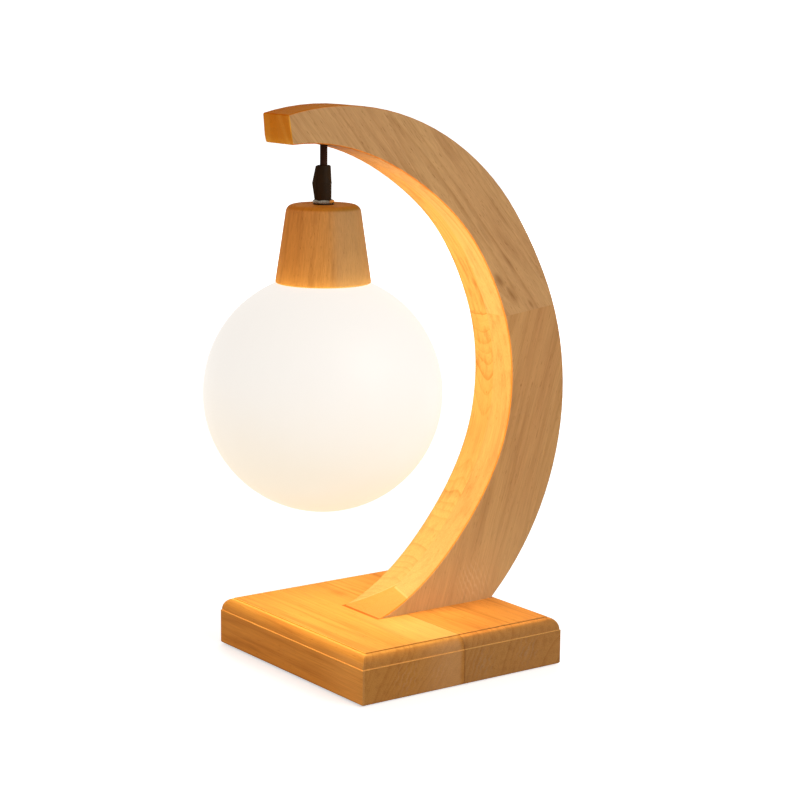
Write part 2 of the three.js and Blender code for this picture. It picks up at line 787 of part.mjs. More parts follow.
function addArm(group) {
  const tipPlace = at(tipCorner.x, 0, tipCorner.z).multiply(
    new THREE.Matrix4().makeRotationY(Math.PI / 2 - radians(tipLeanDegrees)));
  const cuts = [
    blockBelow(at(0, 0, baseTop)),
    blockBelow(tipPlace),
    channelSolid(),
    exitSolid(),
    ...armScrewPlaces.map(([x, y]) => {
      const end = pocketCeiling - armWasherThickness + armScrewLength + slip;
      return turned(disc(armScrewRadius + slip, baseTop - overrun, end), smallSides, at(x, y));
    }),
  ];
  const halfGap = slip / 2;
  const belowJoint = blockBelow(jointPlace.clone().multiply(at(0, 0, halfGap)));
  const belowGap = blockBelow(jointPlace.clone().multiply(at(0, 0, -halfGap)));
  for (const [name, side, look] of [['left', 1, looks.leftPly], ['right', -1, looks.rightPly]]) {
    const hole = turned(dowelProfile(slip), smallSides, dowelPlace(side));
    const ply = cuts.reduce((solid, cut) => solid.subtract(cut), armPly(side)).subtract(hole);
    addPiece(group, `arm_upper_${name}`, ply.subtract(belowJoint), look);
    addPiece(group, `arm_lower_${name}`, ply.intersect(belowGap), look);
    const dowel = turned(dowelProfile(0), smallSides, dowelPlace(side));
    addPiece(group, `arm_dowel_${name}`, dowel, looks.dowelWood);
  }
  const stop = ring(boreRadius, stopRadius, shoulderZ, stopTop);
  addPiece(group, 'cord_stop', turned(stop, smallSides, at(hangX, 0)), looks.zincSteel);
  const lead = extrudeAlong(leadRoute, roundShape(cordRadius, cordSides));
  addPiece(group, 'arm_cord', lead, looks.blackCord);
}

// Pendant, measured down from the top of its cord grip

function addHangingCord(group) {
  const cord = turned([
    ...arc(0, 0, cordRadius, cordRadius, -90, 0, roundSteps),
    ...arc(0, cordReach, cordRadius, cordRadius, 0, 90, roundSteps),
  ], smallSides);
  addPiece(group, 'hanging_cord', cord, looks.blackCord);
  const cordEnd = nippleBottom - nippleTail;
  const inside = turned(disc(cordRadius, cordEnd, -cordRadius - slip), smallSides);
  addPiece(group, 'holder_cord', inside, looks.blackCord);
}

// A wedge on the grip's side, between two heights with a reach at each.
function wedge(low, lowReach, high, highReach) {
  const outline = [[0, low], [lowReach, low], [highReach, high], [0, high]];
  return solidOf(slab(outline, wedgeWidth).rotateZ(radians(wedgeHeadingDegrees)));
}

function addGrip(group) {
  const ridge = gripRadius + gripRidge;
  const capOuter = turned([
    [0, gripParting],
    [ridge, gripParting],
    [ridge, gripParting + gripRidgeHeight / 2],
    [gripRadius, gripParting + gripRidgeHeight],
    [gripTopRadius, -gripTopChamfer],
    [gripTopRadius - gripTopChamfer, 0],
    [0, 0],
  ], mediumSides);
  const mouth = turned([
    [0, gripParting - overrun],
    [boreRadius, gripParting - overrun],
    [boreRadius, -gripMouthDepth],
    [gripMouthRadius, 0],
    [gripMouthRadius, overrun],
    [0, overrun],
  ], smallSides);
  const capWedge = wedge(gripParting, wedgeMiddleReach, -gripTopChamfer, wedgeTopReach);
  addPiece(group, 'grip_cap', capOuter.add(capWedge).subtract(mouth), looks.blackPlastic);

  const bodyOuter = turned([
    [0, gripBottom],
    [gripRadius, gripBottom],
    [gripRadius, gripParting - gripRidgeHeight],
    [ridge, gripParting - gripRidgeHeight / 2],
    [ridge, gripParting],
    [0, gripParting],
  ], mediumSides);
  const bore = turned([
    [0, gripBottom - overrun],
    [nippleHole, gripBottom - overrun],
    [nippleHole, nippleTop + slip],
    [boreRadius, nippleTop + slip],
    [boreRadius, gripParting + overrun],
    [0, gripParting + overrun],
  ], smallSides);
  const bodyWedge = wedge(gripBottom, wedgeBottomReach, gripParting, wedgeMiddleReach);
  const screwTurn = new THREE.Matrix4().makeRotationZ(radians(wedgeHeadingDegrees));
  const screwPlace = screwTurn.multiply(alongX(boreRadius, 0, gripParting - gripScrewDrop));
  const screwHole = turned(disc(gripScrewRadius + slip, 0, wedgeMiddleReach), smallSides, screwPlace);
  const body = bodyOuter.add(bodyWedge).subtract(bore).subtract(screwHole);
  addPiece(group, 'grip_body', body, looks.blackPlastic);
  const screw = turned(disc(gripScrewRadius, 0, gripScrewLength), smallSides);
  addPiece(group, 'grip_screw', screw, looks.zincSteel).applyMatrix4(screwPlace);
}

function addNippleAndNuts(group) {
  addPiece(group, 'hex_nut', hexNut(nutAcrossFlats, nutBottom, gripBottom, nutChamfer), looks.chrome);
  const washer = turned(ring(nippleHole, washerRadius, cupTop, nutBottom), mediumSides);
  addPiece(group, 'cup_washer', washer, looks.chrome);
  const nipple = turned(ring(boreRadius, nippleRadius, nippleBottom, nippleTop), smallSides);
  addPiece(group, 'nipple', nipple, looks.zincSteel);
  const lockNut = hexNut(lockNutAcrossFlats, lockNutBottom, bracketPlate, nutChamfer);
  addPiece(group, 'lock_nut', lockNut, looks.zincSteel);
}

function addCup(group) {
  const sideSlope = (cupRimRadius - cupTopRadius) / cupHeight;
  const lean = Math.atan(sideSlope);
  const roundCentre = cupTopRadius + sideSlope * cupTopRound - cupTopRound / Math.cos(lean);
  const leanDegrees = THREE.MathUtils.radToDeg(lean);
  const cup = turned([
    [nippleHole, cupTop - cupTopThickness],
    [cupBoreRadius, cupTop - cupTopThickness],
    [cupBoreRadius, cupShoulder],
    [cupMouthRadius, cupShoulder],
    [cupMouthRadius, cupBottom + cupDish],
    [cupRimRadius - easedEdge, cupBottom],
    [cupRimRadius - sideSlope * easedEdge, cupBottom + easedEdge],
    ...arc(roundCentre, cupTop - cupTopRound, cupTopRound, cupTopRound, leanDegrees, 90, roundSteps),
    [nippleHole, cupTop],
    [nippleHole, cupTop - cupTopThickness],
  ]);
  addPiece(group, 'wooden_cup', cup, looks.turnedWood);
}

function addCarrier(group) {
  const inner = carrierRadius - carrierSheet;
  const carrier = turned([
    [nippleHole, carrierPlate],
    [inner, carrierPlate],
    [inner, carrierBottom],
    [carrierFlangeRadius, carrierBottom],
    [carrierFlangeRadius, carrierBottom + carrierSheet],
    [carrierRadius, carrierBottom + carrierSheet],
    [carrierRadius, cupShoulder],
    [nippleHole, cupShoulder],
    [nippleHole, carrierPlate],
  ]);
  addPiece(group, 'globe_carrier', carrier, looks.zincSteel);
}

function addLampholder(group) {
  const legInner = holderRadius + slip;
  const legOuter = legInner + bracketSheet;
  const legBottom = holderTop - bracketLap;
  const outline = [
    [-legOuter, legBottom], [-legInner, legBottom], [-legInner, bracketPlate], [legInner, bracketPlate],
    [legInner, legBottom], [legOuter, legBottom], [legOuter, carrierPlate], [-legOuter, carrierPlate],
  ];
  const screwZ = holderTop - holderScrewDrop;
  const screwStart = legOuter - holderScrewLength;
  let bracket = solidOf(slab(outline, bracketWidth));
  bracket = bracket.subtract(turned(disc(nippleHole, lockNutBottom, cupShoulder), smallSides));
  let holder = turned([
    [0, holderBottom],
    [holderRadius - holderEdge, holderBottom],
    [holderRadius, holderBottom + holderEdge],
    [holderRadius, holderTop],
    [0, holderTop],
  ], mediumSides);
  for (const side of [-1, 1]) {
    const y = side * pinSpacing / 2;
    const pinHole = disc(pinRadius + slip, holderBottom - overrun, holderBottom + pinLength + slip);
    holder = holder.subtract(turned(pinHole, pinSides, at(0, y)));
    const entry = disc(conductorRadius + slip, holderTop - wireEntryDepth - slip, holderTop + overrun);
    holder = holder.subtract(turned(entry, pinSides, at(0, y)));
    const place = new THREE.Matrix4().makeRotationZ(side < 0 ? Math.PI : 0)
      .multiply(alongX(0, 0, screwZ));
    const hole = disc(holderScrewRadius + slip, screwStart - slip, legOuter + overrun);
    const cut = turned(hole, pinSides, place);
    holder = holder.subtract(cut);
    bracket = bracket.subtract(cut);
    const screw = turned([
      [0, screwStart],
      [holderScrewRadius, screwStart],
      [holderScrewRadius, legOuter + slip],
      [holderScrewHeadRadius, legOuter + slip],
      [holderScrewHeadRadius, legOuter + slip + holderScrewHeadHeight / 2],
      [holderScrewHeadRadius / 2, legOuter + slip + holderScrewHeadHeight],
      [0, legOuter + slip + holderScrewHeadHeight],
    ], smallSides);
    const number = side < 0 ? 1 : 2;
    addPiece(group, `holder_screw_${number}`, screw, looks.zincSteel).applyMatrix4(place);
    const wireStart = new THREE.Vector3(0, side * conductorSpacing / 2, nippleBottom - nippleTail - slip);
    const wireEnd = new THREE.Vector3(0, y, holderTop - wireEntryDepth);
    const wire = conductor(wireStart, wireEnd, new THREE.Vector3(0, 0, -1), wireEntryDepth);
    addPiece(group, side < 0 ? 'holder_wire_neutral' : 'holder_wire_live', wire, looks.copper);
  }
  addPiece(group, 'holder_bracket', bracket, looks.zincSteel);
  addPiece(group, 'lampholder', holder, looks.ceramic);
}

function addBulb(group) {
  const baseBottom = bulbTop - bulbBaseHeight;
  const coverBottom = baseBottom - bulbCoverHeight;
  const base = turned([
    [0, baseBottom],
    [bulbRadius, baseBottom],
    [bulbRadius, bulbTop - bulbEdge],
    [bulbRadius - bulbEdge, bulbTop],
    [0, bulbTop],
  ], mediumSides);
  addPiece(group, 'bulb_base', base, looks.whitePlastic);
  const inner = bulbCoverRadius - bulbCoverWall;
  const centre = coverBottom + bulbCoverRadius;
  const cover = turned([
    ...arc(0, centre, bulbCoverRadius, bulbCoverRadius, -90, 0, roundSteps),
    [bulbCoverRadius, baseBottom],
    [inner, baseBottom],
    ...arc(0, centre, inner, inner, 0, -90, roundSteps),
  ], mediumSides);
  addPiece(group, 'bulb_cover', cover, looks.bulbCover);
  for (const side of [-1, 1]) {
    const pin = turned(disc(pinRadius, bulbTop, bulbTop + pinLength), pinSides,
      at(0, side * pinSpacing / 2));
    addPiece(group, side < 0 ? 'bulb_pin_1' : 'bulb_pin_2', pin, looks.zincSteel);
  }
}

function addGlobe(group) {
  const degreesAt = (radius, reach) => THREE.MathUtils.radToDeg(Math.acos(reach / radius));
  const innerRadius = globeRadius - globeWall;
  const neckInner = neckRadius - globeWall;
  const neckTop = carrierPlate - neckTopGap;
  const lip = globeWall / 2;
  const globe = turned([
    ...arc(0, globeCentre, globeRadius, globeRadius, -90, degreesAt(globeRadius, neckRadius),
      globeOuterSteps),
    ...arc(neckRadius - lip, neckTop - lip, lip, lip, 0, 180, lipSteps),
    ...arc(0, globeCentre, innerRadius, innerRadius, degreesAt(innerRadius, neckInner), -90,
      globeInnerSteps),
  ]);
  addPiece(group, 'globe', globe, looks.opalGlass);
  const sealTop = carrierBottom - slip;
  const seal = ring(neckRadius + sealPlay, sealOuterRadius, sealTop - sealThickness, sealTop);
  addPiece(group, 'globe_seal', turned(seal), looks.silicone);
}

const lamp = new THREE.Group();
const base = new THREE.Group();
const arm = new THREE.Group();
const pendant = new THREE.Group();
pendant.position.set(hangX, 0, gripTopZ);
lamp.add(base, arm, pendant);
addBase(base);
addArmScrews(base);
addTerminals(base);
addInletBush(base);
addArm(arm);
addHangingCord(pendant);
addGrip(pendant);
addNippleAndNuts(pendant);
addCup(pendant);
addCarrier(pendant);
addLampholder(pendant);
addBulb(pendant);
addGlobe(pendant);

export default lamp;
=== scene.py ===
import json
import math

import bmesh
import bpy
from mathutils import Matrix, Vector

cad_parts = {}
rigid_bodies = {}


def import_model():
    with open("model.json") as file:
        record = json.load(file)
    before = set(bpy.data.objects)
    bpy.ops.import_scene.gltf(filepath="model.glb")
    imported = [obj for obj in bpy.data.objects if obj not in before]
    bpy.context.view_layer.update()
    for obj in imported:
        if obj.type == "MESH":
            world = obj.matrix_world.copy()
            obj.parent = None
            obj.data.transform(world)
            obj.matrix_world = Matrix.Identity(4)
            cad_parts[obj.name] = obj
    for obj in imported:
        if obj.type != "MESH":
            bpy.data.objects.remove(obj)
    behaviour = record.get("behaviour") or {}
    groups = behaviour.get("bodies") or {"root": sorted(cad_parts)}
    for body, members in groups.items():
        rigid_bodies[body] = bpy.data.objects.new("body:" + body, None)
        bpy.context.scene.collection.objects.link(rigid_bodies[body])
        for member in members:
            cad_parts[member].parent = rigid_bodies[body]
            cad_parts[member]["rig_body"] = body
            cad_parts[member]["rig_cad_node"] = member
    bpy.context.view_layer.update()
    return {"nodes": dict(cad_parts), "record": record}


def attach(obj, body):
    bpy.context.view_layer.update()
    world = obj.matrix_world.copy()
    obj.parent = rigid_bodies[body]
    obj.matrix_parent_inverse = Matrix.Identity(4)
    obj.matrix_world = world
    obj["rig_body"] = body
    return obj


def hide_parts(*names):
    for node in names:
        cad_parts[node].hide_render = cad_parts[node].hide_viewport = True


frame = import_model()
nodes = frame["nodes"]
mm = 0.001
globePlace = (-52.4284, 0, 179.32)  # centre of the glass ball, mm, on the pendant's own axis
globeCentre = [v * mm for v in globePlace]
print("frame loaded:", len(nodes), "nodes")


# Camera, fitted to the photograph's corners and outlines

cameraValues = {
    "centre": (-0.82543, -1.13684, 0.432075),
    "right": (0.80773, -0.589466, 0.010109),
    "up": (0.100494, 0.15456, 0.982859),
    "back": (-0.580925, -0.792869, 0.18408),
    "lens": 100.445,  # mm, on a sensor 36 mm wide
    "sensor": 36,
    "near": 0.05,
    "far": 200,
}


def addCamera(values):
    data = bpy.data.cameras.new("camera")
    data.lens = values["lens"]
    data.sensor_width = values["sensor"]
    data.clip_start, data.clip_end = values["near"], values["far"]
    camera = bpy.data.objects.new("camera", data)
    bpy.context.scene.collection.objects.link(camera)
    columns = Matrix((values["right"], values["up"], values["back"])).transposed()
    camera.matrix_world = Matrix.Translation(values["centre"]) @ columns.to_4x4()
    bpy.context.scene.camera = camera


addCamera(cameraValues)
print("camera placed")


# Helpers for materials

# linear RGBA of an sRGB hex colour
def linear(hexColor):
    parts = [int(hexColor[i:i + 2], 16) / 255 for i in (1, 3, 5)]
    return (*(p / 12.92 if p <= 0.04045 else ((p + 0.055) / 1.055) ** 2.4 for p in parts), 1)


# adds a node; links are sockets, other nodes' first outputs, or plain numbers; stops are a ramp's
def addNode(tree, kind, settings=None, links=None, stops=()):
    node = tree.nodes.new(kind)
    for name, value in (settings or {}).items():
        setattr(node, name, value)
    for name, value in (links or {}).items():
        if isinstance(value, bpy.types.Node):
            value = value.outputs[0]
        if isinstance(value, bpy.types.NodeSocket):
            tree.links.new(value, node.inputs[name])
        else:
            node.inputs[name].default_value = value
    for count, (place, shade) in enumerate(stops):
        elements = node.color_ramp.elements
        element = elements[count] if count < len(elements) else elements.new(place)
        element.position, element.color = place, (shade, shade, shade, 1)
    return node


def startMaterial(name):
    material = bpy.data.materials.new(name)
    material.use_nodes = True
    return material, material.node_tree, material.node_tree.nodes["Principled BSDF"]


# Rubberwood: the boards planed and sanded, the cup turned, all under a thin coat of satin lacquer.
# To the eye: honey brown, faint year rings, short dark pores, darker end grain, a soft sheen.
# Each material is solid wood, rings round a pith line with fibres along it, so that every face of a
# board shows its own figure.

woodDefaults = {
    "pith": (0, 0, 0),  # a point on the pith line, mm
    "grain": (0, 0, 1),  # direction of the fibres
    "ring": 3.0,  # width of a year ring, mm
    "wander": 12,  # how far the rings wander, mm
    "yearSpread": 2.4,  # how unequal the years are, in rings
    "pale": "#C5935A",
    "dark": "#996431",
    "tint": "#B27C45",  # slow drift of colour from one part of the board to another
    "streak": "#87552B",
    "flash": "#D9AC76",  # light ripple where the fibres wave
    "mark": "#74431F",  # mineral lines and pin knots
    "end": "#D6A878",  # end grain drinks more lacquer; its colour is multiplied by this
    "endTurn": (0.36, 0.7),  # how squarely the fibres meet a face before it counts as end grain
    "endCalm": 0.8,  # streaks and drifting colour run along the fibres and fade on their ends
    "rim": "#E27A1C",  # eased edges a deeper orange, and painted globe light where they face it
    "rimToneAndGlowShare": 0.0,
    "ringShare": 0.5,
    "tintShare": 0.45,
    "streakShare": 0.42,
    "poreShare": 0.45,
    "flashShare": 0.25,
    "markShare": 0.6,
    "fibreShade": 0.2,  # light and dark from one bundle of fibres to the next
    "marks": (),  # x, y, z, half width, half length along the fibres, mm, and strength
    "ripples": (),  # x, y, z, reach, mm: patches where the fibres wave
    "rippleAcross": (0.9, 0.2, 0.4),  # direction in which the waves follow each other
    "ripplePitch": 2.3,  # mm
    # stretches of paler or darker wood, and of painted light and shade: a share, a colour and the
    # planes that bound them, each with its normal, its distance, softness and waviness in mm; half
    # the waviness comes off the distance
    "patches": (),
    "seed": 0.0,
    "roughness": 0.55,
    "roughnessSpread": 0.16,
    "specular": 0.03,
    "bump": 0.35,
    "bumpDepth": 0.2,  # mm
    "ringDip": 0.4,  # how deep the late wood lies, against a pore
}
woodPatterns = {  # size across and along the fibres, mm, octaves, shift from the other patterns
    "bend": (38, 210, 2, 0),
    "cloud": (24, 100, 3, 7),
    "streak": (4.2, 90, 3, 11),
    "fibre": (0.7, 26, 3, 3),  # bundles of fibres, because single ones of 0.02 mm wouldn't show
    "pore": (0.6, 6, 1, 5),  # 0.2 mm across in the real wood, drawn coarser to show
}
woodStops = {
    "year": [(0, 0.0), (0.3, 0.08), (0.7, 0.45), (0.88, 1.0), (0.94, 0.8), (1, 0.0)],
    "cloud": [(0.32, 0.0), (0.7, 1.0)],
    "streak": [(0.48, 0.0), (0.72, 1.0)],
    "pore": [(0.66, 0.0), (0.76, 1.0)],
    # by the normal's share across the arm
    "rim": [(0.2, 0.0), (0.42, 1.0), (0.8, 1.0), (0.95, 0.0)],
}
fibreSpan = (0.25, 0.75)  # values between which the fine noise lies nearly always
yearDrift = 0.25  # of a turn of the noise for each ring
faintestYear = 0.15
rippleBend = 12.0  # how far the streaks push the ripples, in radians
# painted globe light on the rim: its strength away from the globe, and how squarely it faces
# the globe at full strength
paintedRimGlow = {"shaded": 0.3, "fullFrom": 0.25}


def makeWood(name, own):
    values = {**woodDefaults, **own}
    material, tree, shader = startMaterial(name)
    grain = Vector(values["grain"]).normalized()
    turn = grain.to_track_quat("Z", "Y")
    coords = addNode(tree, "ShaderNodeTexCoord")
    place = addNode(tree, "ShaderNodeMapping", {"vector_type": "TEXTURE"}, {
        "Vector": coords.outputs["Object"],
        "Location": [v * mm for v in values["pith"]],
        "Rotation": turn.to_euler(),
        "Scale": (mm, mm, mm),
    })  # from here on in mm, with Z along the fibres
    noises = {}
    for part, (across, along, detail, shift) in woodPatterns.items():
        scaled = addNode(tree, "ShaderNodeVectorMath", {"operation": "MULTIPLY_ADD"}, {
            0: place, 1: (1 / across, 1 / across, 1 / along),
            2: (values["seed"] + shift, shift, values["seed"]),
        })
        noises[part] = addNode(tree, "ShaderNodeTexNoise", None,
                               {"Vector": scaled, "Scale": 1.0, "Detail": detail})
    cloud, streak, pore = [
        addNode(tree, "ShaderNodeValToRGB", None, {0: noises[part]}, woodStops[part])
        for part in ("cloud", "streak", "pore")
    ]

    # end grain, where the surface crosses the fibres
    crossing = addNode(tree, "ShaderNodeVectorMath", {"operation": "DOT_PRODUCT"},
                       {0: coords.outputs["Normal"], 1: grain})
    crossing = addNode(tree, "ShaderNodeMath", {"operation": "ABSOLUTE"},
                       {0: crossing.outputs["Value"]})
    endFrom, endTo = values["endTurn"]
    end = addNode(tree, "ShaderNodeMapRange", {"interpolation_type": "SMOOTHSTEP"},
                  {"Value": crossing, "From Min": endFrom, "From Max": endTo})
    calm = addNode(tree, "ShaderNodeMath", {"operation": "MULTIPLY_ADD"},
                   {0: end, 1: -values["endCalm"], 2: 1.0})
    cloud, streak = [
        addNode(tree, "ShaderNodeMath", {"operation": "MULTIPLY"}, {0: calm, 1: part})
        for part in (cloud, streak)
    ]

    # year rings that wander, wider and darker in some years than in others
    centred = addNode(tree, "ShaderNodeVectorMath", {"operation": "SUBTRACT"},
                      {0: noises["bend"].outputs["Color"], 1: (0.5, 0.5, 0.5)})
    moved = addNode(tree, "ShaderNodeVectorMath", {"operation": "MULTIPLY_ADD"},
                    {0: centred, 1: (values["wander"], values["wander"], 0), 2: place})
    flat = addNode(tree, "ShaderNodeVectorMath", {"operation": "MULTIPLY"},
                   {0: moved, 1: (1, 1, 0)})
    radius = addNode(tree, "ShaderNodeVectorMath", {"operation": "LENGTH"}, {0: flat})
    count = addNode(tree, "ShaderNodeMath", {"operation": "DIVIDE"},
                    {0: radius.outputs["Value"], 1: values["ring"]})
    uneven = addNode(tree, "ShaderNodeTexNoise", {"noise_dimensions": "1D"},
                     {"W": count, "Scale": yearDrift, "Detail": 1.0})
    years = addNode(tree, "ShaderNodeMath", {"operation": "MULTIPLY_ADD"},
                    {0: uneven, 1: values["yearSpread"], 2: count})
    season = addNode(tree, "ShaderNodeMath", {"operation": "FRACT"}, {0: years})
    late = addNode(tree, "ShaderNodeValToRGB", None, {0: season}, woodStops["year"])
    whole = addNode(tree, "ShaderNodeMath", {"operation": "FLOOR"}, {0: years})
    chance = addNode(tree, "ShaderNodeTexWhiteNoise", {"noise_dimensions": "1D"}, {"W": whole})
    weight = addNode(tree, "ShaderNodeMapRange", None,
                     {"Value": chance.outputs["Value"], "To Min": faintestYear, "To Max": 1.0})
    rings = addNode(tree, "ShaderNodeMath", {"operation": "MULTIPLY"}, {0: late, 1: weight})

    # mineral lines and pin knots, long along the fibres
    marks = None
    for x, y, z, halfWidth, halfLength, strength in values["marks"]:
        centre = turn.to_matrix().transposed() @ (Vector((x, y, z)) - Vector(values["pith"]))
        offset = addNode(tree, "ShaderNodeVectorMath", {"operation": "SUBTRACT"},
                         {0: place, 1: centre})
        scaled = addNode(tree, "ShaderNodeVectorMath", {"operation": "MULTIPLY"},
                         {0: offset, 1: (1 / halfWidth, 1 / halfWidth, 1 / halfLength)})
        size = addNode(tree, "ShaderNodeVectorMath", {"operation": "LENGTH"}, {0: scaled})
        spot = addNode(tree, "ShaderNodeMapRange", {"interpolation_type": "SMOOTHSTEP"}, {
            "Value": size.outputs["Value"], "From Min": 1.0, "From Max": 0.0, "To Max": strength,
        })
        marks = addNode(tree, "ShaderNodeMath", {"operation": "MAXIMUM"},
                        {0: spot, 1: marks or 0.0})

    # ripples, seen as short light lines across a patch
    flashes = None
    along = Vector(values["rippleAcross"]).normalized() * math.tau / (values["ripplePitch"] * mm)
    for x, y, z, reach in values["ripples"]:
        travel = addNode(tree, "ShaderNodeVectorMath", {"operation": "DOT_PRODUCT"},
                         {0: coords.outputs["Object"], 1: along})
        bent = addNode(tree, "ShaderNodeMath", {"operation": "MULTIPLY_ADD"},
                       {0: noises["streak"], 1: rippleBend, 2: travel.outputs["Value"]})
        wave = addNode(tree, "ShaderNodeMath", {"operation": "SINE"}, {0: bent})
        far = addNode(tree, "ShaderNodeVectorMath", {"operation": "DISTANCE"},
                      {0: coords.outputs["Object"], 1: (x * mm, y * mm, z * mm)})
        near = addNode(tree, "ShaderNodeMapRange", {"interpolation_type": "SMOOTHSTEP"},
                       {"Value": far.outputs["Value"], "From Min": reach * mm, "From Max": 0.0})
        near = addNode(tree, "ShaderNodeMath", {"operation": "MULTIPLY"},
                       {0: near, 1: noises["streak"]})
        part = addNode(tree, "ShaderNodeMath", {"operation": "MULTIPLY", "use_clamp": True},
                       {0: wave, 1: near})
        flashes = addNode(tree, "ShaderNodeMath", {"operation": "MAXIMUM"},
                          {0: part, 1: flashes or 0.0})

    # colours laid over each other, the palest first
    layers = [
        (rings, values["ringShare"], values["dark"]),
        (cloud, values["tintShare"], values["tint"]),
        (streak, values["streakShare"], values["streak"]),
        (pore, values["poreShare"], values["mark"]),
    ]
    if marks:
        layers.append((marks, values["markShare"], values["mark"]))
    if flashes:
        layers.append((flashes, values["flashShare"], values["flash"]))
    for share, shade, *planes in values["patches"]:
        inside = 1.0
        for x, y, z, distance, softness, wave in planes:
            side = addNode(tree, "ShaderNodeVectorMath", {"operation": "DOT_PRODUCT"},
                           {0: coords.outputs["Object"], 1: (x, y, z)})
            wavy = addNode(tree, "ShaderNodeMath", {"operation": "MULTIPLY_ADD"},
                           {0: noises["cloud"], 1: wave * mm, 2: side.outputs["Value"]})
            within = addNode(tree, "ShaderNodeMapRange", {"interpolation_type": "SMOOTHSTEP"}, {
                "Value": wavy,
                "From Min": (distance + softness / 2) * mm,
                "From Max": (distance - softness / 2) * mm,
            })
            inside = addNode(tree, "ShaderNodeMath", {"operation": "MULTIPLY"},
                             {0: within, 1: inside})
        layers.append((inside, share, shade))
    # the arm's eased edges a deeper orange, with painted globe light, strongest facing the globe
    if values["rimToneAndGlowShare"]:
        across = addNode(tree, "ShaderNodeSeparateXYZ", None, {0: coords.outputs["Normal"]})
        across = addNode(tree, "ShaderNodeMath", {"operation": "ABSOLUTE"},
                         {0: across.outputs["Y"]})
        rim = addNode(tree, "ShaderNodeValToRGB", None, {0: across}, woodStops["rim"])
        away = addNode(tree, "ShaderNodeVectorMath", {"operation": "SUBTRACT"},
                       {0: globeCentre, 1: coords.outputs["Object"]})
        away = addNode(tree, "ShaderNodeVectorMath", {"operation": "NORMALIZE"}, {0: away})
        facing = addNode(tree, "ShaderNodeVectorMath", {"operation": "DOT_PRODUCT"},
                         {0: away, 1: coords.outputs["Normal"]})
        lit = addNode(tree, "ShaderNodeMapRange", None, {
            "Value": facing.outputs["Value"], "From Max": paintedRimGlow["fullFrom"],
            "To Min": paintedRimGlow["shaded"],
        })
        rim = addNode(tree, "ShaderNodeMath", {"operation": "MULTIPLY"}, {0: rim, 1: lit})
        layers.append((rim, values["rimToneAndGlowShare"], values["rim"]))
    color = linear(values["pale"])
    for part, share, shade in layers:
        factor = addNode(tree, "ShaderNodeMath", {"operation": "MULTIPLY"}, {0: part, 1: share})
        color = addNode(tree, "ShaderNodeMix", {"data_type": "RGBA"},
                        {0: factor, 6: color, 7: linear(shade)}).outputs[2]

    color = addNode(tree, "ShaderNodeMix", {"data_type": "RGBA", "blend_type": "MULTIPLY"},
                    {0: end, 6: color, 7: linear(values["end"])}).outputs[2]
    fibre = {"Value": noises["fibre"], "From Min": fibreSpan[0], "From Max": fibreSpan[1]}
    shade = addNode(tree, "ShaderNodeMapRange", None, {
        **fibre, "To Min": 1 - values["fibreShade"] / 2, "To Max": 1 + values["fibreShade"] / 2,
    })
    color = addNode(tree, "ShaderNodeVectorMath", {"operation": "SCALE"},
                    {0: color, "Scale": shade})
    tree.links.new(color.outputs[0], shader.inputs["Base Color"])

    rough = addNode(tree, "ShaderNodeMapRange", None, {
        **fibre, "To Min": values["roughness"] - values["roughnessSpread"] / 2,
        "To Max": values["roughness"] + values["roughnessSpread"] / 2,
    })
    tree.links.new(rough.outputs[0], shader.inputs["Roughness"])
    dips = addNode(tree, "ShaderNodeMath", {"operation": "MULTIPLY_ADD"},
                   {0: rings, 1: values["ringDip"], 2: pore})
    height = addNode(tree, "ShaderNodeMath", {"operation": "SUBTRACT"},
                     {0: noises["fibre"], 1: dips})
    bump = addNode(tree, "ShaderNodeBump", None, {
        "Height": height, "Strength": values["bump"], "Distance": values["bumpDepth"] * mm,
    })
    tree.links.new(bump.outputs["Normal"], shader.inputs["Normal"])
    shader.inputs["Specular IOR Level"].default_value = values["specular"]
    return material


# The arm is sawn out of straight boards, so its curve crosses their fibres. The square cut at its
# tip is a deeper orange, with three paler streaks down it.
tipPlane = (0.993, 0, 0.118, -44.6, 0.3, 0)
tipCut = ((0.8, "#D08B16", tipPlane),
          (0.34, "#DDAE55", tipPlane, (0, 0.92, -0.4, -140, 3, 6), (0, -0.92, 0.4, 149, 2, 6)),
          (0.34, "#DDAE55", tipPlane, (0, 0.92, -0.4, -148.5, 2, 6), (0, -0.92, 0.4, 160, 3, 6)),
          (0.3, "#DDAE55", tipPlane, (0, 1, 0.1, 53, 3, 4), (0, -1, -0.1, -40.5, 3, 4)))
# painted highlight along the ledge of the base's moulding, where it catches the light
ledgeHighlight = (0.65, "#FFBE68", (0, 0, 1, 23.65, 0.2, 0), (0, 0, -1, -23.0, 0.2, 0))
lowerGrain = (math.sin(math.radians(17)), 0.02, math.cos(math.radians(17)))
upperGrain = (math.cos(math.radians(50)), -0.07, -math.sin(math.radians(50)))

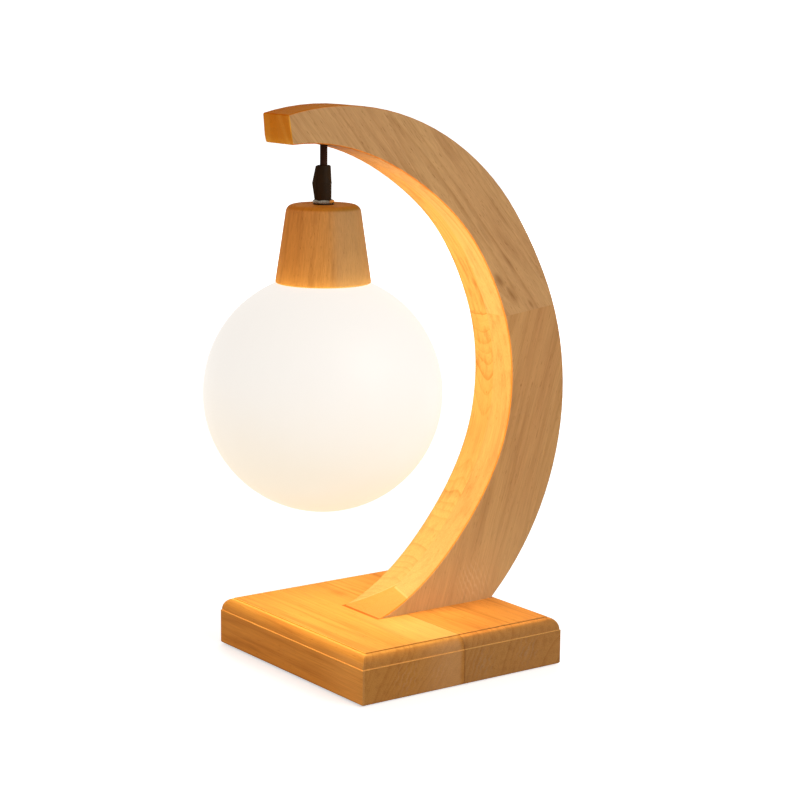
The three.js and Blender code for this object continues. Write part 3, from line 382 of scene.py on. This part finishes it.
woods = {
    "planedRubberwoodFront": {
        "pith": (62, 0, -58), "grain": (0.02, 1, 0.01), "ring": 4.6, "seed": 3.1,
        "pale": "#CB9148", "dark": "#A2652B", "tint": "#BE7E3A", "streak": "#95592A",
        "end": "#E6DEE0", "ringShare": 0.45,
        "marks": ((-73, 12, 31, 5, 66, 0.55), (-55, -30, 31, 2, 50, 0.3), (-8, 46, 32, 9, 12, 0.5)),
        "ripples": ((-44, -81, 12, 17), (-20, -81, 12, 14)), "rippleAcross": (0.9, 0, -0.42),
        "ripplePitch": 3.6, "flash": "#E2BE92", "flashShare": 0.3, "mark": "#A0581F",
        "endCalm": 0.45,
        # the glue seam, a painted contact shadow under the arm's toe, paler wood by the seam, on
        # the left face and on top towards the near edge, painted light over the quirk's shade, and
        # the painted highlight on the ledge of the moulding
        "patches": ((0.35, "#6E4220", (-1, 0, 0, 1.0, 2.0, 1.0)),
                    # painted contact shadow under the arm's toe
                    (0.85, "#A2490E", (-1, 0, 0, 23.2, 1, 0), (0, 1, 0, 20.5, 1, 0),
                     (0, -1, 0, 20.5, 1, 0)),
                    (0.28, "#EBC08A", (0, 1, 0, -78, 5, 0), (-1, 0, 0, 34, 30, 16),
                     (1, 0, 0, -1, 3, 3)),
                    (0.3, "#EBB56C", (1, 0, 0, -76.5, 1, 0), (0, 1, 0, -40, 40, 16)),
                    (0.4, "#EBC27A", (0, 0, -1, -31.5, 0.2, 0), (0, 1, 0, -10, 50, 24),
                     (-1, 0, 0, 36, 30, 20)),
                    # painted light over the shade of the quirk at the left end
                    (0.6, "#F5B35C", (1, 0, 0, -71.1, 0.4, 0), (0, 0, -1, -30.9, 0.4, 0)),
                    ledgeHighlight),
    },
    "planedRubberwoodRear": {
        "pith": (150, 0, -46), "grain": (-0.02, 1, 0.015), "ring": 5.4, "seed": 9.7,
        "pale": "#E3994D", "dark": "#B86F31", "tint": "#D58741", "streak": "#A05B27",
        "end": "#C5CEDF", "ringShare": 0.45,
        "marks": ((40, -60, 32, 4, 22, 0.3),),
        "ripples": ((14, -81, 12, 17), (50, -81, 14, 16)), "rippleAcross": (0.9, 0, -0.42),
        "ripplePitch": 3.9, "flash": "#E2BE92", "flashShare": 0.3, "mark": "#96501E",
        "endCalm": 0.45,
        # the glue seam and the painted highlight on the ledge
        "patches": ((0.3, "#6E4220", (1, 0, 0, 1.0, 2.0, 1.0)), ledgeHighlight),
    },
    "sandedRubberwoodUpperLeft": {
        "pith": (0, 42, 320), "grain": upperGrain, "ring": 3.4, "seed": 1.3, "rimToneAndGlowShare": 0.7,
        "end": "#DEB83E", "patches": tipCut,
        "marks": ((68.6, 3, 240, 1.6, 16, 0.7),),
    },
    "sandedRubberwoodLowerLeft": {
        "pith": (20, 10, 200), "grain": lowerGrain, "ring": 2.7, "seed": 5.9, "rimToneAndGlowShare": 0.7,
        "ringShare": 0.85,
        "end": "#E8D8C0", "endTurn": (0.6, 0.95), "marks": ((38, 2, 73, 1.2, 6, 0.7),),
        # painted bounce light, paler towards the foot, and the cut at the toe with its light border
        "patches": ((0.4, "#DDB47C", (0, 0, 1, 90, 130, 0)),
                    (0.2, "#F2CE95", (0.6, 0.8, 0, 5.1, 0.8, 0)),
                    (0.7, "#CA873E", (0.6, 0.8, 0, 4.04, 0.8, 0))),
    },
    "sandedRubberwoodUpperRight": {
        # its pith leaves the near face at a slant, so the rings there draw a long loop
        "pith": (55.9, -20, 265.9), "grain": (0.64, -0.11, -0.766), "ring": 5, "seed": 2.2,
        "pale": "#C69967", "dark": "#A57648", "tint": "#B8875A", "streakShare": 0.28,
        "rimToneAndGlowShare": 0.7, "wander": 8, "end": "#DEB83E", "patches": tipCut,
        "marks": ((15, -20, 314, 4, 5.5, 0.6), (10.5, -20, 308, 2.2, 8, 0.6),
                  (30, -20, 303, 2.3, 24, 0.6), (48, -20, 285.5, 2.3, 26, 0.7),
                  (66, -20, 266.5, 2.5, 26, 0.8), (84, -20, 249.5, 2.3, 24, 0.8),
                  (73, -20, 242.5, 3.6, 10, 1), (83, -20, 232.5, 2.4, 11, 0.9),
                  (99.5, -20, 225, 1.8, 7, 1), (63, -20, 300, 1.7, 9, 0.8),
                  (58.5, -20, 297.5, 1.8, 2.5, 0.8), (42, -20, 327, 2, 14, 0.6),
                  (78, -20, 292, 2, 4, 0.7)),
        "markShare": 0.75,
    },
    "sandedRubberwoodLowerRight": {
        "pith": (102, 50, 200), "grain": lowerGrain, "ring": 6.5, "seed": 8.4, "ringShare": 0.36,
        "pale": "#C4945F", "dark": "#A26F42", "tint": "#B67E50", "streakShare": 0.3,
        "rimToneAndGlowShare": 0.7, "wander": 20, "end": "#E8D8C0", "endTurn": (0.6, 0.95),
        "marks": ((82, -21, 156, 4.5, 40, 0.4), (62, -21, 92, 5, 36, 0.45),
                  (32, -10.8, 67, 1.1, 1.5, 1), (15, -20, 47, 0.9, 1.6, 0.9),
                  (91.3, -20, 172.6, 1, 1.6, 0.8), (36.8, -2, 72, 0.9, 6, 0.6)),
        "ripples": ((54, -20, 44, 19),), "rippleAcross": (0.9, 0, 0.42),
        "ripplePitch": 3.2, "flash": "#ECCFA6", "flashShare": 0.7,
        # painted bounce light, paler towards the foot, and the toe's cut with its border on this
        # ply
        "patches": ((0.45, "#DDB47C", (0, 0, 1, 70, 90, 0)),
                    (0.2, "#F2CE95", (1, -0.2, 0, 5.4, 0.8, 0), (0, -1, 0, 19.8, 0.2, 0)),
                    (0.7, "#CA873E", (1, -0.2, 0, 4.3, 0.8, 0), (0, -1, 0, 19.8, 0.2, 0))),
    },
    "turnedRubberwoodCup": {
        "pith": (-96, 24, 270), "grain": (0.03, -0.02, 1), "ring": 3.0, "seed": 4.6,
        "pale": "#C48B4C", "dark": "#9E6430", "tint": "#B3773E", "ringShare": 0.3,
        "end": "#DCCC88",  # the top, greener than the side
        # the greyer right part of its side
        "patches": ((0.6, "#B4895B", (-0.93, 0.36, 0, 56, 10, 12), (0, 0, 1, 295.8, 1, 0)),),
    },
    # beech dowel rod, rolled with glue flutes: pale, plain and dull
    "rolledBeechDowel": {
        "pith": (80, 30, 220), "grain": (0.117, 0, 0.993), "ring": 2.4, "seed": 6.1,
        "pale": "#DCC194", "dark": "#C6A374", "tint": "#D2B284", "streak": "#B99567",
        "mark": "#A98357", "end": "#D2C0B4", "roughness": 0.65, "specular": 0.5,
    },
}
materials = {name: makeWood(name, values) for name, values in woods.items()}
print("woods made:", len(woods))


# Other materials: base colour, finish, and a fine pattern at its real size

surfaces = {
    # wool felt, pressed: dull and fluffy, with matted fibres half a millimetre apart
    "pressedWoolFelt": {"color": "#3B3532", "second": "#575049", "roughness": 0.95, "grainMm": 0.5,
                        "bump": 0.8, "depthMm": 0.25, "sheen": 0.35},
    # PVC flex, extruded: nearly black brown, smooth, with a soft line of light along it
    "extrudedPvcFlex": {"color": "#33190A", "second": "#4A2A14", "roughness": 0.42, "grainMm": 2.2,
                        "bump": 0.25, "depthMm": 0.05, "specular": 0.08},
    # nylon, moulded with a fine spark grain: dark brown black and dull
    "mouldedNylonGrip": {"color": "#241708", "second": "#31200E", "roughness": 0.6, "grainMm": 0.35,
                         "bump": 0.4, "depthMm": 0.03, "specular": 0.1},
    # polyamide, moulded: milky white with a slight gloss
    "mouldedPolyamide": {"color": "#E6E3DA", "second": "#DCD8CC", "roughness": 0.5, "grainMm": 0.6,
                         "bump": 0.3, "depthMm": 0.03},
    # steel, polished and chrome plated: mirror bright
    "chromePlatedSteel": {"color": "#B5AB9A", "second": "#8F8576", "roughness": 0.2, "grainMm": 0.8,
                          "bump": 0.12, "depthMm": 0.01, "metallic": 1.0},
    # steel, brown black with a dull shine, on the washer under the nut
    "darkWasherSteel": {"color": "#3A2E24", "second": "#2A211A", "roughness": 0.45, "grainMm": 0.6,
                       "bump": 0.2, "depthMm": 0.02, "metallic": 1.0},
    # steel, bright zinc plated: bluish grey, slightly cloudy
    "zincPlatedSteel": {"color": "#B9BCBC", "second": "#A0A5A8", "roughness": 0.34, "grainMm": 1.1,
                        "bump": 0.25, "depthMm": 0.02, "metallic": 1.0},
    # brass, turned: yellow and bright, with a faint grain from the tool
    "turnedBrass": {"color": "#CDA955", "second": "#B89244", "roughness": 0.28, "grainMm": 0.5,
                    "bump": 0.3, "depthMm": 0.02, "metallic": 1.0},
    # copper wire, drawn and stranded: reddish, uneven
    "strandedCopper": {"color": "#C47B4D", "second": "#A86440", "roughness": 0.35, "grainMm": 0.3,
                       "bump": 0.6, "depthMm": 0.08, "metallic": 1.0},
    # steatite, pressed and glazed: cream white under a hard gloss
    "glazedSteatite": {"color": "#F0EDE4", "second": "#E4DFD2", "roughness": 0.22, "grainMm": 0.7,
                       "bump": 0.15, "depthMm": 0.02, "coat": 0.5},
    # silicone, moulded: dull, milky and slightly dusty
    "mouldedSilicone": {"color": "#D8D5CD", "second": "#C9C5BB", "roughness": 0.7, "grainMm": 0.5,
                        "bump": 0.3, "depthMm": 0.03},
}
broadShare = 9  # the broad pattern is this much wider than the fine one
mottleStops = [(0.12, 0.0), (0.42, 1.0)]  # of both patterns multiplied, from colour to colour
roughSpan = (0.3, 0.7)  # of the broad pattern, over which the roughness changes
roughSpread = 0.25  # of the roughness, up and down


def makeSurface(name, values):
    material, tree, shader = startMaterial(name)
    coords = addNode(tree, "ShaderNodeTexCoord")
    fine, broad = [
        addNode(tree, "ShaderNodeTexNoise", None, {
            "Vector": coords.outputs["Object"],
            "Scale": 1 / (values["grainMm"] * wide * mm), "Detail": 2.0,
        }) for wide in (1, broadShare)
    ]
    both = addNode(tree, "ShaderNodeMath", {"operation": "MULTIPLY"}, {0: fine, 1: broad})
    share = addNode(tree, "ShaderNodeValToRGB", None, {0: both}, mottleStops)
    color = addNode(tree, "ShaderNodeMix", {"data_type": "RGBA"},
                    {0: share, 6: linear(values["color"]), 7: linear(values["second"])})
    tree.links.new(color.outputs[2], shader.inputs["Base Color"])
    rough = addNode(tree, "ShaderNodeMapRange", None, {
        "Value": broad, "From Min": roughSpan[0], "From Max": roughSpan[1],
        "To Min": values["roughness"] * (1 - roughSpread),
        "To Max": min(1.0, values["roughness"] * (1 + roughSpread)),
    })
    tree.links.new(rough.outputs[0], shader.inputs["Roughness"])
    bump = addNode(tree, "ShaderNodeBump", None, {
        "Height": fine, "Strength": values["bump"], "Distance": values["depthMm"] * mm,
    })
    tree.links.new(bump.outputs["Normal"], shader.inputs["Normal"])
    for socket, key in (("Metallic", "metallic"), ("Coat Weight", "coat"),
                        ("Sheen Weight", "sheen"), ("Specular IOR Level", "specular")):
        if key in values:
            shader.inputs[socket].default_value = values[key]
    return material


materials.update({name: makeSurface(name, values) for name, values in surfaces.items()})


# Glass that glows from inside
glowing = {
    # opal glass, blown and acid etched: milky, satin, lit evenly and a little warmer below
    "etchedOpalGlass": {
        "body": "#6E6B67", "second": "#75726D", "bottom": "#FFECCE", "top": "#FFF9F2",
        "low": 102, "high": 215,  # mm, heights between which the glow changes
        "strength": 0.86, "mottleMm": 30, "leanMm": 12, "roughness": 0.5, "specular": 0.25,
    },
    # polycarbonate, moulded and frosted: the capsule bulb's cover, evenly bright
    "frostedPolycarbonate": {
        "body": "#D8D5CF", "second": "#CFCBC4", "bottom": "#FFF0D8", "top": "#FFF6E6",
        "low": 185, "high": 215, "strength": 1.0, "mottleMm": 6, "leanMm": 2, "roughness": 0.6,
        "specular": 0.4,
    },
}


def makeGlowing(name, values):
    material, tree, shader = startMaterial(name)
    coords = addNode(tree, "ShaderNodeTexCoord")
    corner = addNode(tree, "ShaderNodeSeparateXYZ", None, {0: coords.outputs["Object"]})
    mottle = addNode(tree, "ShaderNodeTexNoise", None, {
        "Vector": coords.outputs["Object"], "Scale": 1 / (values["mottleMm"] * mm), "Detail": 2.0,
    })
    height = addNode(tree, "ShaderNodeMath", {"operation": "MULTIPLY_ADD"},
                     {0: mottle, 1: values["leanMm"] * mm, 2: corner.outputs["Z"]})
    share = addNode(tree, "ShaderNodeMapRange", {"interpolation_type": "SMOOTHSTEP"}, {
        "Value": height, "From Min": values["low"] * mm, "From Max": values["high"] * mm,
    })
    for socket, factor, first, second in (("Emission Color", share, "bottom", "top"),
                                          ("Base Color", mottle, "body", "second")):
        color = addNode(tree, "ShaderNodeMix", {"data_type": "RGBA"},
                        {0: factor, 6: linear(values[first]), 7: linear(values[second])})
        tree.links.new(color.outputs[2], shader.inputs[socket])
    shader.inputs["Emission Strength"].default_value = values["strength"]
    shader.inputs["Roughness"].default_value = values["roughness"]
    shader.inputs["Specular IOR Level"].default_value = values["specular"]
    return material


materials.update({name: makeGlowing(name, values) for name, values in glowing.items()})
print("materials made:", len(materials))

slotMaterials = {
    "front_board": "planedRubberwoodFront", "rear_board": "planedRubberwoodRear",
    "arm_left": "sandedRubberwoodLowerLeft", "arm_right": "sandedRubberwoodLowerRight",
    "dowel_wood": "rolledBeechDowel", "turned_wood": "turnedRubberwoodCup",
    "felt": "pressedWoolFelt", "black_cord": "extrudedPvcFlex", "black_plastic": "mouldedNylonGrip",
    "white_plastic": "mouldedPolyamide", "chrome": "chromePlatedSteel",
    "zinc_steel": "zincPlatedSteel", "brass": "turnedBrass", "copper": "strandedCopper",
    "ceramic": "glazedSteatite", "opal_glass": "etchedOpalGlass",
    "bulb_cover": "frostedPolycarbonate", "silicone": "mouldedSilicone",
}
nodeMaterials = {
    "arm_upper_left": "sandedRubberwoodUpperLeft", "arm_upper_right": "sandedRubberwoodUpperRight",
    "cup_washer": "darkWasherSteel",
}
nodeSlots = {part["node"]: part["material_slot"] for part in frame["record"]["subparts"]}
bodies = frame["record"]["behaviour"]["bodies"]
nodeBodies = {node: body for body, held in bodies.items() for node in held}


def materialOf(node):
    return materials[nodeMaterials.get(node, slotMaterials[nodeSlots[node]])]


for name, piece in nodes.items():
    piece.data.materials.clear()
    piece.data.materials.append(materialOf(name))
bpy.ops.object.select_all(action="DESELECT")


# Pieces refined from the frame's own solids: merged, cleaned, edges eased, shaded smooth

def selectOnly(piece):
    bpy.ops.object.select_all(action="DESELECT")
    piece.select_set(True)
    bpy.context.view_layer.objects.active = piece


def finishPiece(piece, name, node):
    piece.name = piece.data.name = name
    piece.data.materials.clear()
    piece.data.materials.append(materialOf(node))
    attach(piece, nodeBodies[node])
    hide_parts(node)
    bpy.ops.object.select_all(action="DESELECT")
    return piece


mergeReach = 0.002 * mm
flatTurn = math.radians(0.4)  # facets that meet flatter than this are one face
sharpTurn = math.radians(20)  # edges sharper than this can be eased
smoothTurn = math.radians(30)  # edges flatter than this are shaded smooth


def refined(node, name, eased=None, width=0.3, steps=2, moves=()):
    selectOnly(nodes[node])
    bpy.ops.object.duplicate()
    piece = bpy.context.view_layer.objects.active
    piece.parent = None
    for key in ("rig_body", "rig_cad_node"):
        del piece[key]
    bpy.ops.object.mode_set(mode="EDIT")
    bpy.ops.mesh.select_all(action="SELECT")
    bpy.ops.mesh.remove_doubles(threshold=mergeReach)
    bpy.ops.mesh.dissolve_limited(angle_limit=flatTurn)
    bpy.ops.mesh.select_all(action="DESELECT")
    mesh = bmesh.from_edit_mesh(piece.data)
    for picked, run, move in moves:
        for vertex in mesh.verts:
            vertex.select = picked(vertex.co / mm)
        mesh.select_flush_mode()
        bmesh.update_edit_mesh(piece.data)
        if any(vertex.select for vertex in mesh.verts):
            run(**move)
        bpy.ops.mesh.select_all(action="DESELECT")
        mesh = bmesh.from_edit_mesh(piece.data)
    if eased:
        bpy.ops.mesh.select_mode(type="EDGE")
        for edge in mesh.edges:
            turn = edge.calc_face_angle(0) if edge.is_manifold else 0
            ends = [vertex.co / mm for vertex in edge.verts]
            edge.select = turn > sharpTurn and edge.is_convex and eased(*ends)
        mesh.select_flush_mode()
        bmesh.update_edit_mesh(piece.data)
        bpy.ops.mesh.bevel(offset=width * mm, segments=steps, affect="EDGES", clamp_overlap=False)
    bpy.ops.object.mode_set(mode="OBJECT")
    bpy.ops.object.shade_smooth_by_angle(angle=smoothTurn)
    bpy.ops.object.modifier_add(type="WEIGHTED_NORMAL")
    piece.modifiers[0].keep_sharp = True
    bpy.ops.object.modifier_apply(modifier=piece.modifiers[0].name)
    return finishPiece(piece, name, node)


# Pieces turned on the pendant's axis: a circle, extruded and scaled from ring to ring

def turned(node, name, profile, sides=96):
    (firstRadius, firstZ), *rest = [(r * mm, z * mm) for r, z in profile]
    centre = globeCentre[:2]
    bpy.ops.mesh.primitive_circle_add(vertices=sides, radius=firstRadius,
                                      location=(*centre, firstZ))
    piece = bpy.context.view_layer.objects.active
    bpy.ops.object.transform_apply(location=True, rotation=True, scale=True)
    bpy.ops.object.mode_set(mode="EDIT")
    bpy.ops.mesh.select_mode(type="EDGE")
    bpy.ops.mesh.select_all(action="SELECT")
    radius, z = firstRadius, firstZ
    for nextRadius, nextZ in rest:
        bpy.ops.mesh.extrude_edges_move(TRANSFORM_OT_translate={"value": (0, 0, nextZ - z)})
        ratio = nextRadius / radius
        bpy.ops.transform.resize(value=(ratio, ratio, 1), center_override=(*centre, nextZ))
        radius, z = nextRadius, nextZ
    bpy.ops.mesh.select_all(action="SELECT")
    bpy.ops.mesh.remove_doubles(threshold=2 * mergeReach)
    bpy.ops.mesh.normals_make_consistent(inside=False)
    bpy.ops.object.mode_set(mode="OBJECT")
    bpy.ops.object.shade_smooth_by_angle(angle=smoothTurn)
    return finishPiece(piece, name, node)


# points of an arc round a place in the profile, from one direction to another in degrees
def arcPoints(centreRadius, centreZ, reach, start, end, steps):
    turns = [math.radians(start + (end - start) * i / steps) for i in range(steps + 1)]
    return [(centreRadius + reach * math.cos(t), centreZ + reach * math.sin(t)) for t in turns]


globeValues = {
    "radius": 75, "wall": 3, "neck": 19.6, "top": 265.0,
    "pole": 0.001, "outerSteps": 54, "innerSteps": 40, "lipSteps": 8, "sides": 128,
}


def addGlobe(values):
    radius, wall, neck = (values[k] for k in ("radius", "wall", "neck"))
    centreZ = globeCentre[2] / mm
    inner, innerNeck, lip = radius - wall, neck - wall, wall / 2
    upTo = math.degrees(math.acos(neck / radius))
    innerUpTo = math.degrees(math.acos(innerNeck / inner))
    profile = [
        (values["pole"], centreZ - radius),
        *arcPoints(0, centreZ, radius, -90, upTo, values["outerSteps"])[1:],
        *arcPoints(neck - lip, values["top"] - lip, lip, 0, 180, values["lipSteps"]),
        *arcPoints(0, centreZ, inner, innerUpTo, -90, values["innerSteps"])[:-1],
        (values["pole"], centreZ - inner),
    ]
    return turned("globe", "opalGlobe", profile, values["sides"])


opalGlobe = addGlobe(globeValues)

cupValues = {
    "top": 297.0, "rim": 248.6, "topRadius": 22.7, "rimRadius": 29.9, "round": 5.0, "rimRound": 0.8,
    "hole": 3.9, "floor": 287.0, "bore": 15.0, "shoulder": 269.0, "mouth": 24.5, "dish": 2.1,
    "sides": 128, "roundSteps": 10, "sideSteps": 6,
}


def addCup(values):
    slope = (values["rimRadius"] - values["topRadius"]) / (values["top"] - values["rim"])
    lean = math.degrees(math.atan(slope))
    size, small = values["round"], values["rimRound"]
    roundCentre = values["topRadius"] + slope * size - size / math.cos(math.radians(lean))
    rimCentre = values["rimRadius"] - slope * small - small / math.cos(math.radians(lean))
    topArc = arcPoints(roundCentre, values["top"] - size, size, lean, 90, values["roundSteps"])
    rimArc = arcPoints(rimCentre, values["rim"] + small, small, -90, lean,
                       values["roundSteps"] // 2)
    (lowRadius, lowZ), (highRadius, highZ) = rimArc[-1], topArc[0]
    steps = values["sideSteps"]
    side = [(lowRadius + (highRadius - lowRadius) * i / steps, lowZ + (highZ - lowZ) * i / steps)
            for i in range(1, steps)]
    start = (values["hole"], values["floor"])
    profile = [
        start, (values["bore"], values["floor"]), (values["bore"], values["shoulder"]),
        (values["mouth"], values["shoulder"]), (values["mouth"], values["rim"] + values["dish"]),
        *rimArc, *side, *topArc, (values["hole"], values["top"]), start,
    ]
    return turned("wooden_cup", "turnedCup", profile, values["sides"])


turnedCup = addCup(cupValues)

cordValues = {"radius": 2.3, "low": 321.0, "high": 333.7, "pole": 0.001, "sides": 32, "endSteps": 8}


def addHangingCord(values):
    radius, low, high, steps = (values[k] for k in ("radius", "low", "high", "endSteps"))
    profile = [
        (values["pole"], low - radius), *arcPoints(0, low, radius, -90, 0, steps)[1:],
        *arcPoints(0, high, radius, 0, 90, steps)[:-1], (values["pole"], high + radius),
    ]  # round ends, because it hinges in them
    return turned("hanging_cord", "hangingCord", profile, values["sides"])


addHangingCord(cordValues)
print("turned pieces made")


# Boards: outer edges eased, and a fine groove along the seam between the base's two boards

baseValues = {
    "half": (78.0, 81.5), "top": 31.8,
    "outer": 0.9,  # share of the half size from which an edge is outer
    "seamReach": 0.2, "ledge": 1.2, "roundWidth": 5.3, "roundLow": 23.3, "roundHigh": 31.2,
    "newLedge": 0.5, "slack": 0.05,  # how far off its place a vertex may lie
}
armValues = {  # the edges to ease: along the curves, which are short, and round the tip
    "easeWidth": 0.6, "easeSteps": 3, "sideFrom": 12, "above": 32, "longest": 14,
    "tipBefore": -75, "tipSideFrom": 5,
}


def outerBaseEdge(a, b):
    (length, depth), outer = baseValues["half"], baseValues["outer"]
    rim = min(max(abs(v.x) / length, abs(v.y) / depth) for v in (a, b)) > outer
    seam = (max(abs(a.x), abs(b.x)) < baseValues["seamReach"]
            and min(max(abs(v.y) / depth, v.z / baseValues["top"]) for v in (a, b)) > outer)
    return (rim or seam) and min(a.z, b.z) > 0


def outerArmEdge(a, b):
    side = (min(abs(a.y), abs(b.y)) > armValues["sideFrom"]
            and min(a.z, b.z) > armValues["above"] and (a - b).length < armValues["longest"])
    tip = (max(a.x, b.x) < armValues["tipBefore"]
           and max(abs(a.y), abs(b.y)) > armValues["tipSideFrom"])
    return side or tip


# The boards' ends are pushed together in the butt joint, where the solids keep a gap
jointValues = {"normal": Vector((-0.11667, 0, 0.99317)), "gap": 0.3, "reach": 0.05}


def boardEnd(node, towards):
    ends = [jointValues["normal"].dot(v.co / mm) * towards for v in nodes[node].data.vertices]
    limit = max(ends) - jointValues["reach"]
    move = jointValues["normal"] * (towards * jointValues["gap"] / 2 * mm)
    return (lambda place: jointValues["normal"].dot(place) * towards > limit,
            bpy.ops.transform.translate, {"value": move})


# The round along the top is stretched out from its upper end, to a ledge half a millimetre wide
def roundMoves(values):
    width, slack = values["roundWidth"], values["slack"]
    low, high = values["roundLow"] - 2 * slack, values["roundHigh"] - slack
    ratio = (width + values["ledge"] - values["newLedge"]) / width
    for axis, half in enumerate(values["half"]):
        outer, inner = half - values["ledge"] + 2 * slack, half - values["ledge"] - width
        for way in (-1, 1):
            centre, scale = [0, 0, 0], [1, 1, 1]
            centre[axis], scale[axis] = inner * way * mm, ratio
            yield (lambda place, axis=axis, way=way, inner=inner, outer=outer:
                   inner + slack < place[axis] * way < outer and low < place.z < high,
                   bpy.ops.transform.resize, {"value": scale, "center_override": centre})


for place in ("front", "rear"):
    refined(f"base_{place}_board", f"{place}Board", outerBaseEdge, moves=roundMoves(baseValues))
for part, towards in (("upper", -1), ("lower", 1)):
    for side in ("left", "right"):
        node = f"arm_{part}_{side}"
        refined(node, f"{part}{side.capitalize()}Board", outerArmEdge, armValues["easeWidth"],
                armValues["easeSteps"], [boardEnd(node, towards)])
for node, name in {
    "grip_cap": "gripCap", "grip_body": "gripBody", "hex_nut": "hexNut", "cup_washer": "cupWasher",
    "inlet_bush": "inletBush",
}.items():
    refined(node, name)
print("frame pieces refined")


# Floor, backdrop and lights

stageValues = {
    "size": 120, "floor": "#E9E9E7", "world": 0.22,
    "near": 0.3, "far": 1.4,  # m from the middle: the floor fades to the white of the backdrop
    "nearGlow": 0.62, "farGlow": 1.0,
    "floorMirrored": 0.35,  # share of the floor's white that metal and glass reflect
}
lamps = {  # soft boxes: one from the front, one warm from the left, one from behind
    "key": {"place": (0.5, -2.3, 1.5), "size": 1.6, "power": 40, "color": "#FFFFFF"},
    "warm": {"place": (-2.0, 0.3, 1.7), "size": 1.6, "power": 38, "color": "#FFC67C",
             "untinted": True, "sheen": False},
    "rear": {"place": (1.3, 2.0, 1.5), "size": 1.8, "power": 36, "color": "#FFFFFF",
             "sheen": False},
}
lampAim = (0, 0, 0.17)
glows = {  # the globe's own light: a ball just outside the glass, and what its shoulder throws up
    "globeGlow": {"place": globePlace, "radius": 75.15, "power": 1.2, "color": (1.0, 0.87, 0.39)},
    "shoulderGlow": {"place": (-13, 0, 255), "radius": 8, "power": 0.1, "color": (1.0, 0.45, 0.07),
                     "besideCup": True},
}


# 1 where the camera looks at the stage itself, straight or through glass, less in a reflection
def seenWhite(tree, mirrored):
    path = addNode(tree, "ShaderNodeLightPath")
    straight = addNode(tree, "ShaderNodeMath", {"operation": "MAXIMUM"},
                       {0: path.outputs["Is Camera Ray"], 1: path.outputs["Is Transmission Ray"]})
    reflected = addNode(tree, "ShaderNodeMath", {"operation": "MULTIPLY"},
                        {0: path.outputs["Is Glossy Ray"], 1: mirrored})
    return addNode(tree, "ShaderNodeMath", {"operation": "MAXIMUM"}, {0: straight, 1: reflected})


def addFloor(values):
    bpy.ops.mesh.primitive_plane_add(size=values["size"], location=(0, 0, 0))
    floor = bpy.context.view_layer.objects.active
    floor.name = "floor"
    material, tree, shader = startMaterial("floorPaper")
    shader.inputs["Base Color"].default_value = linear(values["floor"])
    shader.inputs["Roughness"].default_value = 1.0
    shader.inputs["Specular IOR Level"].default_value = 0.0
    shader.inputs["Emission Color"].default_value = (1, 1, 1, 1)
    coords = addNode(tree, "ShaderNodeTexCoord")
    reach = addNode(tree, "ShaderNodeVectorMath", {"operation": "LENGTH"},
                    {0: coords.outputs["Object"]})
    fade = addNode(tree, "ShaderNodeMapRange", {"interpolation_type": "SMOOTHSTEP"}, {
        "Value": reach.outputs["Value"], "From Min": values["near"], "From Max": values["far"],
        "To Min": values["nearGlow"], "To Max": values["farGlow"],
    })
    white = seenWhite(tree, values["floorMirrored"])
    glow = addNode(tree, "ShaderNodeMath", {"operation": "MULTIPLY"}, {0: white, 1: fade})
    tree.links.new(glow.outputs[0], shader.inputs["Emission Strength"])
    floor.data.materials.append(material)
    return floor


def addBackdrop(values):
    world = bpy.data.worlds.new("studio")
    world.use_nodes = True
    bpy.context.scene.world = world
    tree = world.node_tree
    background = tree.nodes["Background"]
    strength = addNode(tree, "ShaderNodeMapRange", None,
                       {"Value": seenWhite(tree, 0.0), "To Min": values["world"], "To Max": 1.0})
    background.inputs["Color"].default_value = (1, 1, 1, 1)
    tree.links.new(strength.outputs[0], background.inputs["Strength"])


def addLamps(lampValues, untinted):
    for name, values in lampValues.items():
        data = bpy.data.lights.new(name, "AREA")
        data.size, data.energy = values["size"], values["power"]
        data.color = linear(values["color"])[:3]
        lamp = bpy.data.objects.new(name, data)
        bpy.context.scene.collection.objects.link(lamp)
        lamp.location = values["place"]
        aim = Vector(lampAim) - Vector(values["place"])
        lamp.rotation_euler = aim.to_track_quat("-Z", "Y").to_euler()
        lamp.visible_glossy = values.get("sheen", True)
        if values.get("untinted"):
            lamp.light_linking.receiver_collection = untinted


def addGlows(glowValues, untinted, unlit):
    for name, values in glowValues.items():
        data = bpy.data.lights.new(name, "POINT")
        data.shadow_soft_size = values["radius"] * mm
        data.energy, data.color = values["power"], values["color"]
        data.use_soft_falloff = False
        lamp = bpy.data.objects.new(name, data)
        bpy.context.scene.collection.objects.link(lamp)
        lamp.location = [v * mm for v in values["place"]]
        lamp.visible_camera = False
        lamp.visible_glossy = False
        lamp.light_linking.receiver_collection = unlit if values.get("besideCup") else untinted
        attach(lamp, "glass")


# a collection of pieces that a lamp leaves out
def leftOut(name, pieces):
    group = bpy.data.collections.new(name)
    for count, piece in enumerate(pieces):
        group.objects.link(piece)
        group.collection_objects[count].light_linking.link_state = "EXCLUDE"
    return group


floor = addFloor(stageValues)
addBackdrop(stageValues)
untinted = leftOut("untintedByWarmLight", (opalGlobe, floor))  # milky glass and paper stay white
addLamps(lamps, untinted)
addGlows(glows, untinted, leftOut("besideShoulderGlow", (opalGlobe, floor, turnedCup)))
bpy.context.scene.view_settings.view_transform = "Standard"
print("stage and lights set")
